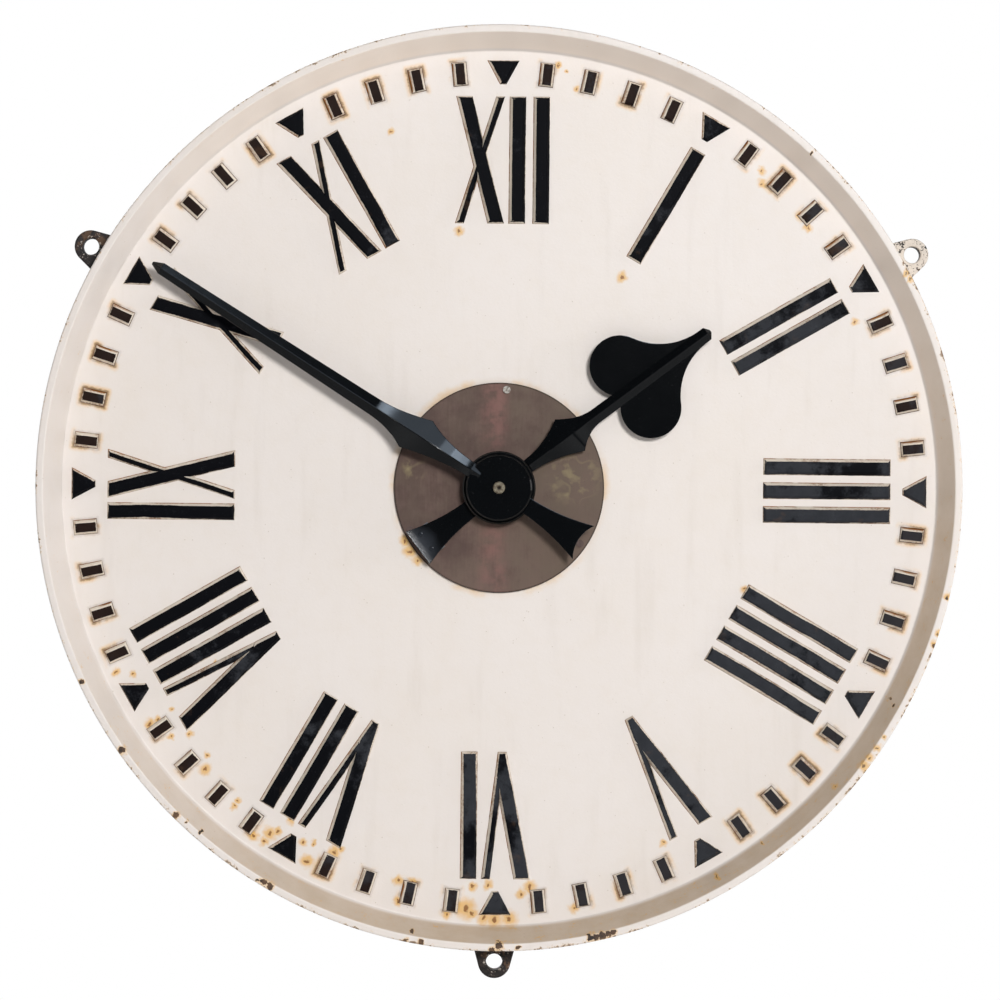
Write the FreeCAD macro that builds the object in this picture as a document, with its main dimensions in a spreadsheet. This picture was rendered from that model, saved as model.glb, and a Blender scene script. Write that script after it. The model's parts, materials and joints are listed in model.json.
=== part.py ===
import FreeCAD, Part
import math
import os
import types

import Sketcher
from FreeCAD import Placement, Rotation, Vector

# A railway station dial with its hands and its slave movement.
# Z is up, the dial faces -Y, and X points right as the dial is read.
# The origin is on the dial's axis, in the plane where the three lugs meet what they are bolted to.

# Driving dimensions in millimetres, angles in degrees
SIZES = {
    # Cast dial: lengths along Y are measured forward from the mounting plane
    "rim_radius": 457,
    "rim_depth": 56,
    "rim_draft": 3,
    "lip_width": 8.5,
    "lip_bevel": 3,
    "wall_run": 14,
    "face_depth": 20,
    "face_thickness": 8,
    "skirt_thickness": 9,
    "centre_hole_radius": 85,
    "hub_ring_width": 11,
    "rib_width": 10,
    "rib_setback": 3,
    # Bolt lugs round the rim
    "lug_reach": 11,
    "lug_hole_radius": 8.2,
    "lug_end_radius": 16,
    "lug_thickness": 22,
    "lug_flank_angle": 15,
    # Raised numerals and minute marks
    "relief_height": 5,
    "relief_draft": 30,
    "relief_root": 1,
    "numeral_length": 127,
    "numeral_margin": 10.5,
    "stroke_width": 17.6,
    "hairline_width": 10,
    "letter_width": 50,
    "stroke_gap": 6,
    "letter_gap": 3,
    "vee_foot_width": 10,
    "vee_lean": 0.42,
    "track_length": 25,
    "track_margin": 9,
    "bar_width": 16.2,
    "triangle_width": 34,
    "triangle_point_width": 7,
    # Brass plate in the middle of the dial
    "centre_plate_radius": 103.7,
    "centre_plate_thickness": 3,
    "plate_screw_circle": 97,
    "plate_screw_angle": 4,
    "plate_screw_head_radius": 3.7,
    "plate_screw_head_height": 2.2,
    "plate_screw_radius": 2,
    "plate_screw_length": 9,
    "screw_slot_width": 1,
    "screw_slot_depth": 1,
    # Both hands
    "hand_edge": 3.2,
    "hand_ridge": 8,
    "tail_thickness": 5,
    "hub_plate": 3.2,
    "flare_share": 0.27,
    "boss_flange": 7,
    "boss_bevel": 1.5,
    "boss_nut_thickness": 3,
    "set_screw_radius": 2.5,
    "set_screw_recess": 1,
    # Minute hand
    "minute_angle": -57.6,
    "minute_back": 47,
    "minute_boss_radius": 32.5,
    "minute_sleeve_radius": 12,
    "minute_nut_radius": 19,
    "minute_tip_margin": 26.5,
    "minute_point_length": 10,
    "minute_point_width": 3,
    "minute_tip_width": 12,
    "minute_stem_radius": 146,
    "minute_stem_width": 18,
    "minute_shoulder_radius": 97,
    "minute_shoulder_width": 39.5,
    "minute_neck_width": 15,
    "minute_tail_radius": 99,
    "minute_tail_width": 39,
    "minute_tail_neck": 16.4,
    "minute_tail_hollow": 6,
    # Hour hand
    "hour_angle": 52.9,
    "hour_back": 32,
    "hour_boss_radius": 36,
    "hour_sleeve_radius": 17,
    "hour_nut_radius": 25,
    "hour_tip_margin": 1,
    "hour_point_length": 4,
    "hour_point_width": 3,
    "hour_tip_width": 14,
    "hour_stem_width": 15,
    "hour_shoulder_radius": 87,
    "hour_shoulder_width": 42.5,
    "hour_neck_width": 14,
    "hour_stem_radius": 118,
    "lobe_from_tip": 92,
    "lobe_offset": 25.7,
    "lobe_radius": 30,
    "hollow_from_tip": 9,
    "hour_tail_radius": 99.5,
    "hour_tail_width": 40,
    "hour_tail_neck": 17.6,
    "rivet_radius": 1.6,
    "rivet_head_radius": 2.4,
    "rivet_crown_radius": 1.4,
    "rivet_head_height": 1.2,
    "rivet_from_end": 10.5,
    "rivet_half_spacing": 8.9,
    "counterweight_thickness": 5,
    "counterweight_length": 20,
    "counterweight_margin": 5,
    # Clearances
    "fixed_fit": 0.02,
    "running_fit": 0.06,
    "end_shake": 0.4,
    "air_gap": 0.8,
    # Movement frame: lengths along Y are measured back from the mounting plane
    "post_inset": 12,
    "post_z": 48,
    "post_radius": 8,
    "post_stud_radius": 4,
    "post_boss_radius": 14,
    "post_boss_height": 8,
    "post_stud_depth": 11,
    "post_nut_width": 13,
    "post_nut_thickness": 5,
    "plate_half_width": 106,
    "plate_top": 82,
    "plate_bottom": 104,
    "plate_corner_radius": 10,
    "plate_thickness": 4,
    "front_plate_y": 12,
    "plate_spacing": 64,
    "pillar_inset": 12,
    "pillar_radius": 6.5,
    "pillar_spigot_radius": 3.5,
    "frame_screw_radius": 2,
    "frame_screw_head_radius": 4.4,
    "frame_screw_head_height": 3,
    "frame_screw_length": 14,
    "bush_wall": 4,
    "bush_flange": 3,
    "bush_flange_thickness": 2,
    # Gears
    "pressure_angle": 25,
    "backlash": 0.16,
    "motion_module": 1.5,
    "train_module": 1.5,
    "rotor_module": 1.25,
    "cannon_teeth": 15,
    "minute_wheel_teeth": 45,
    "minute_pinion_teeth": 12,
    "hour_wheel_teeth": 48,
    "centre_wheel_teeth": 60,
    "train_pinion_teeth": 12,
    "intermediate_wheel_teeth": 72,
    "wheel_thickness": 4,
    "wheel_rim": 5,
    "wheel_arm_width": 6,
    "wheel_hub_wall": 7,
    # Arbors of the motion work
    "arbor_radius": 6,
    "arbor_proud": 2.5,
    "arbor_bevel": 1,
    "arbor_centre_radius": 2.5,
    "cannon_wall": 2.2,
    "hour_pipe_wall": 4,
    "hour_pipe_clearance": 1,
    "cannon_teeth_front": 2,
    "cannon_teeth_length": 8,
    "hour_wheel_front": 9,
    "minute_wheel_front": 1,
    "minute_pinion_front": 11,
    "pinion_pipe_wall": 2,
    "stud_radius": 4,
    "stud_tip": 1,
    "stud_shoulder_radius": 8,
    "clip_thickness": 1,
    "clip_radius": 7,
    "clip_groove": 1,
    # Arbors between the plates
    "minute_pivot_radius": 5,
    "centre_wheel_y": 24,
    "centre_seat_radius": 11,
    "clutch_spring_thickness": 1.2,
    "clutch_spring_radius": 16,
    "clutch_collar_length": 7,
    "clutch_collar_radius": 11,
    "train_arbor_radius": 4,
    "train_pivot_radius": 2.5,
    "train_arbor_angle": 215,
    "train_pinion_y": 21,
    "train_pinion_length": 10,
    "intermediate_wheel_y": 42,
    "rotor_arbor_radius": 3,
    "rotor_pivot_radius": 2,
    "rotor_arbor_angle": -25,
    "rotor_pinion_y": 39.5,
    "rotor_pinion_length": 9,
    "rotor_y": 51,
    "rotor_length": 16,
    "rotor_radius": 18,
    "knob_radius": 14,
    "knob_length": 14,
    "knob_gap": 3,
    "knob_flute_radius": 2.5,
    # Electromagnet
    "yoke_inset": 1,
    "yoke_arm_width": 14,
    "yoke_opening": 52,
    "yoke_reach": 72,
    "shoe_width": 33,
    "core_width": 12,
    "bobbin_wall": 2,
    "bobbin_cheek": 38,
    "cheek_thickness": 2.5,
    "winding_width": 34,
    "winding_corner": 5,
    "yoke_screw_offset": 36,
    "spacer_radius": 5,
    "lead_radius": 1.1,
    "lead_hole_clearance": 1,
    "lead_bend": 8,
    "lead_standoff": 7,
    # Terminal block on the back plate
    "block_width": 44,
    "block_height": 18,
    "block_depth": 14,
    "block_top_z": -62,
    "lead_half_spacing": 8,
    "lead_entry": 4,
    "terminal_screw_radius": 2,
    "terminal_head_radius": 4,
    "terminal_head_height": 2.6,
    "terminal_screw_length": 8,
    "block_screw_radius": 1.5,
    "block_screw_head_radius": 2.8,
    "block_screw_head_height": 2,
    "block_screw_inset": 4.5,
}

HOUR_NUMERALS = ["XII", "I", "II", "III", "IIII", "V", "VI", "VII", "VIII", "IX", "X", "XI"]
MINUTES = 60
MINUTES_PER_HOUR_MARK = 5
DEGREES_PER_MINUTE = 360 / MINUTES
LUG_SPINS = [60, 180, 300]
PLATE_SCREWS = 3
RIBS = 6
RIB_SPIN = 30
WHEEL_ARMS = 5
KNOB_FLUTES = 12
FLANK_POINTS = 5
# Depth of a tooth below the pitch circle, in modules
DEDENDUM = 1.25
# How far a cut runs past the face that it opens
PAST = 1

document = FreeCAD.newDocument("railway_clock")


# Sizes that remember their formulas

class Size:
    """A number together with the sheet formula that gives it."""

    def __init__(self, number, formula):
        self.number = number
        self.formula = formula

    def __add__(self, other):
        other = as_size(other)
        return Size(self.number + other.number, f"({self.formula} + {other.formula})")

    def __sub__(self, other):
        other = as_size(other)
        return Size(self.number - other.number, f"({self.formula} - {other.formula})")

    def __mul__(self, other):
        other = as_size(other)
        return Size(self.number * other.number, f"({self.formula} * {other.formula})")

    def __truediv__(self, other):
        other = as_size(other)
        return Size(self.number / other.number, f"({self.formula} / {other.formula})")

    def __neg__(self):
        return Size(-self.number, f"(0 - {self.formula})")

    def __rsub__(self, other):
        return as_size(other) - self

    __radd__ = __add__
    __rmul__ = __mul__


def as_size(value):
    return value if isinstance(value, Size) else Size(float(value), f"{float(value):.9f}")


def sine(angle):
    angle = as_size(angle)
    return Size(math.sin(math.radians(angle.number)), f"sin({angle.formula})")


def cosine(angle):
    angle = as_size(angle)
    return Size(math.cos(math.radians(angle.number)), f"cos({angle.formula})")


def make_sheet():
    """Fill the sheet of driving dimensions and return each one by name."""
    sheet = document.addObject("Spreadsheet::Sheet", "Sizes")
    for row, (name, value) in enumerate(SIZES.items(), start=1):
        sheet.set(f"A{row}", name)
        sheet.set(f"B{row}", str(value))
        sheet.setAlias(f"B{row}", name)
    document.recompute()
    sizes = {name: Size(float(getattr(sheet, name)), f"Sizes.{name}") for name in SIZES}
    return types.SimpleNamespace(**sizes)


size = make_sheet()


# Ways of making a piece

def bind(item, **properties):
    """Tie properties of an item to the sheet."""
    for name, value in properties.items():
        item.setExpression(name, as_size(value).formula)


def place(item, x=0, y=0, z=0, turn=None):
    """Set an item down at a point whose coordinates follow the sheet."""
    point = [as_size(x), as_size(y), as_size(z)]
    item.Placement = Placement(Vector(*[part.number for part in point]), turn or Rotation())
    for axis, part in zip("xyz", point):
        item.setExpression(f"Placement.Base.{axis}", part.formula)


def spin(degrees):
    """Turn about the dial's axis, clockwise as the dial is read."""
    return Rotation(Vector(0, 1, 0), as_size(degrees).number)


FACING_FRONT = Rotation(Vector(1, 0, 0), 90)
ALONG_Y = Rotation(Vector(1, 0, 0), -90)


def draw_outline(sketch, corners):
    """Closed outline of straight sides, each corner held from the sketch's origin."""
    first = sketch.GeometryCount
    corners = [(as_size(x), as_size(y)) for x, y in corners]
    points = [Vector(x.number, y.number, 0) for x, y in corners]
    count = len(points)
    sides = [Part.LineSegment(points[i], points[(i + 1) % count]) for i in range(count)]
    sketch.addGeometry(sides, False)
    joints = []
    for i in range(count):
        joints.append(Sketcher.Constraint("Coincident", first + i, 2, first + (i + 1) % count, 1))
    sketch.addConstraint(joints)
    for i, (x, y) in enumerate(corners):
        hold_point(sketch, first + i, 1, x, y)


def draw_circle(sketch, radius, x=0, y=0):
    radius, x, y = as_size(radius), as_size(x), as_size(y)
    circle = Part.Circle(Vector(x.number, y.number, 0), Vector(0, 0, 1), radius.number)
    index = sketch.addGeometry(circle, False)
    held = sketch.addConstraint(Sketcher.Constraint("Radius", index, radius.number))
    sketch.setExpression(f"Constraints[{held}]", radius.formula)
    hold_point(sketch, index, 3, x, y)


def hold_point(sketch, index, vertex, x, y):
    """Tie one point of a sketch to the sheet."""
    for kind, value in (("DistanceX", x), ("DistanceY", y)):
        held = sketch.addConstraint(Sketcher.Constraint(kind, -1, 1, index, vertex, value.number))
        sketch.setExpression(f"Constraints[{held}]", value.formula)


def body_sketch(body, role, name):
    sketch = body.newObject("Sketcher::SketchObject", name)
    plane = [item for item in body.Origin.OriginFeatures if item.Role == role][0]
    sketch.AttachmentSupport = [(plane, "")]
    sketch.MapMode = "FlatFace"
    return sketch


def turned(name, profile, x=0, z=0):
    """Piece turned about an axis along Y, from corners given as radius and Y."""
    body = document.addObject("PartDesign::Body", name)
    sketch = body_sketch(body, "XY_Plane", name + "_profile")
    draw_outline(sketch, profile)
    turning = body.newObject("PartDesign::Revolution", name + "_turning")
    turning.Profile = sketch
    turning.ReferenceAxis = (sketch, ["V_Axis"])
    turning.Angle = 360
    body.Tip = turning
    place(body, x, 0, z)
    return body


def ring(name, bore, radius, front, back, x=0, z=0):
    return turned(name, [(bore, front), (radius, front), (radius, back), (bore, back)], x, z)


def rod(name, radius, front, back, x=0, z=0):
    """Plain round bar along Y."""
    bar = document.addObject("Part::Cylinder", name)
    bind(bar, Radius=radius, Height=back - front)
    place(bar, x, front, z, ALONG_Y)
    return bar


def block(name, low, high):
    """Rectangular block between two corners."""
    box = document.addObject("Part::Box", name)
    length, width, height = [as_size(b) - a for a, b in zip(low, high)]
    bind(box, Length=length, Width=width, Height=height)
    place(box, *low)
    return box


def raised(name, corners, back, height, turn=0, draft=0):
    """Block on the dial, from corners given across and along an hour line, that rises forward."""
    sketch = document.addObject("Sketcher::SketchObject", name + "_outline")
    draw_outline(sketch, corners)
    place(sketch, 0, back, 0, spin(turn) * FACING_FRONT)
    solid = document.addObject("Part::Extrusion", name)
    solid.Base = sketch
    solid.DirMode = "Normal"
    solid.Solid = True
    bind(solid, LengthFwd=height)
    if draft:
        bind(solid, TaperAngle=-draft)
    return solid


def joined(name, members):
    fused = document.addObject("Part::MultiFuse", name)
    fused.Shapes = members
    return fused


def cut(name, base, tools):
    """Base with one or more tools taken away."""
    result = document.addObject("Part::Cut", name)
    result.Base = base
    result.Tool = tools[0] if len(tools) == 1 else joined(name + "_cuts", tools)
    return result


def group(name, members):
    """Identical pieces that share one node."""
    compound = document.addObject("Part::Compound", name)
    compound.Links = members
    return compound


def slotted_screw(name, radius, length, head_radius, head_height, seat, forward, x, z):
    """Screw with a slotted cheese head on its seat, which faces the front or the back."""
    side = -1 if forward else 1
    tip = seat - side * length
    top = seat + side * head_height
    profile = [(0, tip), (radius, tip), (radius, seat), (head_radius, seat), (head_radius, top), (0, top)]
    blank = turned(name + "_blank", profile, x, z)
    floor = top - side * size.screw_slot_depth
    low, high = (top, floor) if forward else (floor, top)
    reach = head_radius + PAST
    half = size.screw_slot_width / 2
    slot = block(name + "_slot", (x - half, low, z - reach), (x + half, high, z + reach))
    return cut(name, blank, [slot])


def hex_nut(name, width, bore, front, thickness, x, z):
    blank = document.addObject("Part::Prism", name + "_blank")
    blank.Polygon = 6
    bind(blank, Circumradius=width / 2 / cosine(30), Height=thickness)
    place(blank, x, front, z, ALONG_Y)
    return cut(name, blank, [rod(name + "_bore", bore, front - PAST, front + thickness + PAST, x, z)])


# Layout across the dial, from the rim inwards
lip_outer = size.rim_radius - size.rim_draft
lip_inner = lip_outer - size.lip_width
wall_foot = lip_inner - size.wall_run
lug_circle = size.rim_radius + size.lug_reach
track_outer = wall_foot - size.track_margin
track_inner = track_outer - size.track_length
numeral_outer = track_inner - size.numeral_margin
numeral_inner = numeral_outer - size.numeral_length
minute_tip = wall_foot - size.minute_tip_margin
hour_tip = numeral_inner - size.hour_tip_margin
lobe_centre = hour_tip - size.lobe_from_tip
hollow_end = hour_tip - size.hollow_from_tip

# Layout along the dial's axis, with the front on the negative side
face_front = -size.face_depth
face_back = face_front + size.face_thickness
rim_front = -size.rim_depth
post_seat = face_back + size.post_boss_height
front_plate_back = size.front_plate_y + size.plate_thickness
back_plate_y = front_plate_back + size.plate_spacing
back_plate_back = back_plate_y + size.plate_thickness
minute_back = -size.minute_back
hour_back = -size.hour_back
minute_flange_back = minute_back - size.hub_plate
minute_flange_front = minute_flange_back - size.boss_flange
hour_flange_back = hour_back - size.hub_plate
hour_flange_front = hour_flange_back - size.boss_flange
minute_sleeve_end = minute_back + size.boss_nut_thickness
hour_sleeve_end = hour_back + size.boss_nut_thickness
post_x = size.plate_half_width - size.post_inset
post_places = [(sx * post_x, sz * size.post_z) for sx in (-1, 1) for sz in (-1, 1)]
pillar_x = size.plate_half_width - size.pillar_inset
pillar_top = size.plate_top - size.pillar_inset
pillar_bottom = size.pillar_inset - size.plate_bottom
pillar_places = [(sx * pillar_x, z) for sx in (-1, 1) for z in (pillar_top, pillar_bottom)]

# Radii of the parts that run in one another
cannon_radius = size.arbor_radius + size.cannon_wall
hour_pipe_bore = cannon_radius + size.running_fit
hour_pipe_radius = hour_pipe_bore + size.hour_pipe_wall

# Arbors, each at the working distance of its pair of gears
motion_distance = size.motion_module * (size.minute_pinion_teeth + size.hour_wheel_teeth) / 2
train_distance = size.train_module * (size.centre_wheel_teeth + size.train_pinion_teeth) / 2
rotor_distance = size.rotor_module * (size.intermediate_wheel_teeth + size.train_pinion_teeth) / 2
train_x = train_distance * cosine(size.train_arbor_angle)
train_z = train_distance * sine(size.train_arbor_angle)
rotor_x = train_x + rotor_distance * cosine(size.rotor_arbor_angle)
rotor_z = train_z + rotor_distance * sine(size.rotor_arbor_angle)


# Cast dial

def letter_strokes(letter, middle):
    """Straight strokes of one letter, as corners across and along the hour line."""
    inner, outer = numeral_inner, numeral_outer
    wide, thin = size.stroke_width, size.hairline_width
    half = size.letter_width / 2
    left, right = middle - half, middle + half
    if letter == "I":
        edge = middle - wide / 2
        return [[(edge, inner), (edge + wide, inner), (edge + wide, outer), (edge, outer)]]
    if letter == "X":
        heavy = [(right - wide, inner), (right, inner), (left + wide, outer), (left, outer)]
        light = [(left, inner), (left + thin, inner), (right, outer), (right - thin, outer)]
        return [heavy, light]
    foot = middle - middle * size.vee_lean
    foot_left, foot_right = foot - size.vee_foot_width / 2, foot + size.vee_foot_width / 2
    rise = outer - inner
    crotch_drop = (size.letter_width - wide) * rise / (foot_left - left + right - foot_right)
    crotch = right - (right - foot_right) * crotch_drop / rise
    level = outer - crotch_drop
    heavy = [(foot_left, inner), (foot_right, inner), (crotch, level), (left + wide, outer), (left, outer)]
    light = [(crotch - thin, level), (crotch, level), (right, outer), (right - thin, outer)]
    return [heavy, light]


def numeral_strokes(text):
    """Strokes of a Roman numeral centred on its hour line."""
    widths = [size.stroke_width if letter == "I" else size.letter_width for letter in text]
    gaps = [size.stroke_gap if pair == ("I", "I") else size.letter_gap for pair in zip(text, text[1:])]
    left = (sum(widths) + sum(gaps)) * -0.5
    strokes = []
    for letter, width, gap in zip(text, widths, gaps + [0]):
        strokes += letter_strokes(letter, left + width / 2)
        left = left + width + gap
    return strokes


def minute_mark(minute):
    """Bar of one minute, or the triangle of every fifth, pointing at the centre."""
    inner, outer = track_inner, track_outer
    if minute % MINUTES_PER_HOUR_MARK == 0:
        half, point = size.triangle_width / 2, size.triangle_point_width / 2
        return [(-point, inner), (point, inner), (half, outer), (-half, outer)]
    half = size.bar_width / 2
    return [(-half, inner), (half, inner), (half, outer), (-half, outer)]


def dial_relief():
    """Raised numerals and minute marks, rooted in the face of the dial."""
    back = face_front + size.relief_root
    height = size.relief_height + size.relief_root
    solids = []
    for hour, text in enumerate(HOUR_NUMERALS):
        for index, corners in enumerate(numeral_strokes(text)):
            turn = hour * MINUTES_PER_HOUR_MARK * DEGREES_PER_MINUTE
            solids.append(raised(f"numeral_{hour}_{index}", corners, back, height, turn, size.relief_draft))
    for minute in range(MINUTES):
        turn = minute * DEGREES_PER_MINUTE
        solids.append(raised(f"minute_{minute}", minute_mark(minute), back, height, turn, size.relief_draft))
    return solids


def lug_places():
    for turn in LUG_SPINS:
        yield turn, lug_circle * sine(turn), lug_circle * cosine(turn)


def plate_screw_places():
    for index in range(PLATE_SCREWS):
        turn = size.plate_screw_angle + index * 360 / PLATE_SCREWS
        yield size.plate_screw_circle * sine(turn), size.plate_screw_circle * cosine(turn)


def dial_lug(turn, x, z):
    """Ear with a round end and flanks that spread to the rim."""
    angle = size.lug_flank_angle
    shoulder = size.lug_end_radius * cosine(angle)
    shoulder_radius = lug_circle + size.lug_end_radius * sine(angle)
    root = size.rim_radius - size.skirt_thickness
    foot = shoulder + (shoulder_radius - root) * sine(angle) / cosine(angle)
    corners = [(-foot, root), (foot, root), (shoulder, shoulder_radius), (-shoulder, shoulder_radius)]
    flank = raised(f"lug_flank_{turn}", corners, 0, size.lug_thickness, turn)
    end = rod(f"lug_end_{turn}", size.lug_end_radius, -size.lug_thickness, as_size(0), x, z)
    return [flank, end]


def dial_casting():
    bevel_y = rim_front + size.lip_bevel
    skirt = size.rim_radius - size.skirt_thickness
    dish = turned("dial_dish", [
        (size.centre_hole_radius, face_front),
        (wall_foot, face_front),
        (lip_inner, bevel_y),
        (lip_inner + size.lip_bevel, rim_front),
        (lip_outer - size.lip_bevel, rim_front),
        (lip_outer, bevel_y),
        (size.rim_radius, 0),
        (skirt, 0),
        (skirt, face_back),
        (size.centre_hole_radius, face_back),
    ])
    rib_back = -size.rib_setback
    root = face_back - size.relief_root
    ring_outer = size.centre_hole_radius + size.hub_ring_width
    solids = [dish, ring("dial_hub_ring", size.centre_hole_radius, ring_outer, root, post_seat)]
    half = size.rib_width / 2
    rib_start, rib_end = ring_outer - half, skirt + half
    rib = [(-half, rib_start), (half, rib_start), (half, rib_end), (-half, rib_end)]
    for index in range(RIBS):
        turn = RIB_SPIN + index * 360 / RIBS
        solids.append(raised(f"dial_rib_{index}", rib, rib_back, rib_back - root, turn))
    for index, (x, z) in enumerate(post_places):
        solids.append(rod(f"post_boss_{index}", size.post_boss_radius, root, post_seat, x, z))
    holes = []
    for turn, x, z in lug_places():
        solids += dial_lug(turn, x, z)
        hole_front = -size.lug_thickness - PAST
        holes.append(rod(f"lug_hole_{turn}", size.lug_hole_radius, hole_front, as_size(PAST), x, z))
    for index, (x, z) in enumerate(post_places):
        hole_front = post_seat - size.post_stud_depth - PAST
        hole_radius = size.post_stud_radius + size.fixed_fit
        holes.append(rod(f"post_hole_{index}", hole_radius, hole_front, post_seat + PAST, x, z))
    hole_radius = size.plate_screw_radius + size.fixed_fit
    hole_front, hole_back = face_front - PAST, face_back + PAST
    for index, (x, z) in enumerate(plate_screw_places()):
        holes.append(rod(f"plate_screw_hole_{index}", hole_radius, hole_front, hole_back, x, z))
    return cut("dial_casting", joined("dial_blank", solids + dial_relief()), holes)


def centre_plate():
    """Disc screwed over the hole in the dial, with room for the hour pipe."""
    front = face_front - size.centre_plate_thickness
    bore = hour_pipe_radius + size.hour_pipe_clearance
    disc = ring("centre_disc", bore, size.centre_plate_radius, front, face_front)
    holes = []
    for index, (x, z) in enumerate(plate_screw_places()):
        hole_radius = size.plate_screw_radius + size.fixed_fit
        holes.append(rod(f"disc_hole_{index}", hole_radius, front - PAST, face_front + PAST, x, z))
    return cut("centre_plate", disc, holes)


def centre_plate_screws():
    seat = face_front - size.centre_plate_thickness
    screws = []
    for index, (x, z) in enumerate(plate_screw_places()):
        screws.append(slotted_screw(
            f"centre_plate_screw_{index}", size.plate_screw_radius, size.plate_screw_length,
            size.plate_screw_head_radius, size.plate_screw_head_height, seat, True, x, z))
    return group("centre_plate_screws", screws)


# Hands, each drawn pointing at 12 and then turned to its place

def hand_section(name, along, width, back, edge, ridge=None):
    """Cross-section of a hand at one distance from the centre: flat, or rising to a ridge."""
    half = width / 2
    corners = [(-half, back), (half, back), (half, back - edge)]
    if ridge:
        corners.append((0, back - ridge))
    corners.append((-half, back - edge))
    sketch = document.addObject("Sketcher::SketchObject", name)
    draw_outline(sketch, corners)
    place(sketch, 0, 0, along)
    return sketch


def hand_length(name, stations, back, edge, ridge=None, curved=False):
    """Stretch of a hand through widths given at distances from the centre."""
    loft = document.addObject("Part::Loft", name)
    loft.Sections = [
        hand_section(f"{name}_{index}", along, width, back, edge, ridge)
        for index, (along, width) in enumerate(stations)
    ]
    loft.Solid = True
    loft.Ruled = not curved
    return loft


def hollow_flare(near, near_width, far, far_width):
    """Three stations whose sides curve in between two widths."""
    middle_width = near_width + (far_width - near_width) * size.flare_share
    return [(near, near_width), ((near + far) / 2, middle_width), (far, far_width)]


def hand_hub(name, radius, bore, back, neck, tail_neck, root):
    """Flat middle of a hand under its boss, with the roots of the blade and the tail."""
    front = back - size.hub_plate
    disc = rod(name + "_disc", radius, front, back)
    blade_root = block(name + "_blade_root", (-neck / 2, front, as_size(0)), (neck / 2, back, root))
    tail_root = block(name + "_tail_root", (-tail_neck / 2, front, -root), (tail_neck / 2, back, as_size(0)))
    return [disc, blade_root, tail_root], rod(name + "_bore", bore, front - PAST, back + PAST)


def minute_hand():
    root = size.minute_boss_radius + size.end_shake
    shoulder = (size.minute_shoulder_radius, size.minute_shoulder_width)
    stem = (size.minute_stem_radius, size.minute_stem_width)
    point_start = minute_tip - size.minute_point_length
    edge, ridge = size.hand_edge, size.hand_ridge
    solids, bore = hand_hub(
        "minute_hub", size.minute_boss_radius, size.minute_sleeve_radius + size.fixed_fit,
        minute_back, size.minute_neck_width, size.minute_tail_neck, root)
    kite = hollow_flare(root, size.minute_neck_width, *shoulder)
    waist = hollow_flare(*stem, *shoulder)
    blade = [stem, (point_start, size.minute_tip_width), (minute_tip, size.minute_point_width)]
    tail = hollow_flare(-root, size.minute_tail_neck, -size.minute_tail_radius, size.minute_tail_width)
    solids.append(hand_length("minute_kite", kite, minute_back, edge, ridge, True))
    solids.append(hand_length("minute_waist", waist, minute_back, edge, ridge, True))
    solids.append(hand_length("minute_blade", blade, minute_back, edge, ridge))
    solids.append(hand_length("minute_tail", tail, minute_back, size.tail_thickness, None, True))
    half, depth = size.minute_tail_width / 2, size.minute_tail_hollow
    scoop_radius = (half * half + depth * depth) / (depth * 2)
    scoop_z = depth - size.minute_tail_radius - scoop_radius
    scoop_front = minute_back - size.tail_thickness - PAST
    scoop = rod("minute_tail_scoop", scoop_radius, scoop_front, minute_back + PAST, 0, scoop_z)
    hand = cut("minute_hand", joined("minute_hand_blank", solids), [bore, scoop])
    place(hand, turn=spin(size.minute_angle))
    return hand


def hour_spade():
    """Flat plate of two round lobes, drawn in to the point by hollows that meet the lobes smoothly."""
    front, past_front = hour_back - size.hand_edge, hour_back - size.hand_edge - PAST
    offset, lobe, tip = size.lobe_offset, size.lobe_radius, size.hour_tip_width / 2
    reach, drop = hollow_end - lobe_centre, offset - tip
    hollow = (reach * reach + drop * drop - lobe * lobe) / ((lobe + drop) * 2)
    meeting = offset + lobe * (hollow - drop) / (lobe + hollow)
    point_start = hour_tip - size.hour_point_length
    neck = block("spade_neck", (-meeting, front, lobe_centre), (meeting, hour_back, point_start))
    lobes, hollows = [], []
    for side in (-1, 1):
        lobes.append(rod(f"spade_lobe_{side}", lobe, front, hour_back,
                         side * offset, lobe_centre))
        hollows.append(rod(f"spade_hollow_{side}", hollow, past_front, hour_back + PAST,
                           side * (tip + hollow), hollow_end))
    return lobes + [cut("spade_point", neck, hollows)]


def hour_rivet_places():
    along = size.rivet_from_end - size.hour_tail_radius
    return [(side * size.rivet_half_spacing, along) for side in (-1, 1)]


def hour_hand():
    root = size.hour_boss_radius + size.end_shake
    shoulder = (size.hour_shoulder_radius, size.hour_shoulder_width)
    stem = (size.hour_stem_radius, size.hour_stem_width)
    edge, ridge = size.hand_edge, size.hand_ridge
    solids, bore = hand_hub(
        "hour_hub", size.hour_boss_radius, size.hour_sleeve_radius + size.fixed_fit,
        hour_back, size.hour_neck_width, size.hour_tail_neck, root)
    kite = hollow_flare(root, size.hour_neck_width, *shoulder)
    waist = hollow_flare(*stem, *shoulder)
    point_start = (hour_tip - size.hour_point_length, size.hour_tip_width)
    point = (hour_tip, size.hour_point_width)
    tail = hollow_flare(-root, size.hour_tail_neck, -size.hour_tail_radius, size.hour_tail_width)
    solids.append(hand_length("hour_kite", kite, hour_back, edge, ridge, True))
    solids.append(hand_length("hour_waist", waist, hour_back, edge, ridge, True))
    solids.append(hand_length("hour_rib", [stem, point_start, point], hour_back, edge, ridge))
    solids.append(hand_length("hour_tail", tail, hour_back, size.tail_thickness, None, True))
    solids += hour_spade()
    holes = [bore]
    for index, (x, z) in enumerate(hour_rivet_places()):
        hole_front = hour_back - size.tail_thickness - PAST
        hole_radius = size.rivet_radius + size.fixed_fit
        holes.append(rod(f"rivet_hole_{index}", hole_radius, hole_front, hour_back + PAST, x, z))
    hand = cut("hour_hand", joined("hour_hand_blank", solids), holes)
    place(hand, turn=spin(size.hour_angle))
    return hand


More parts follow.
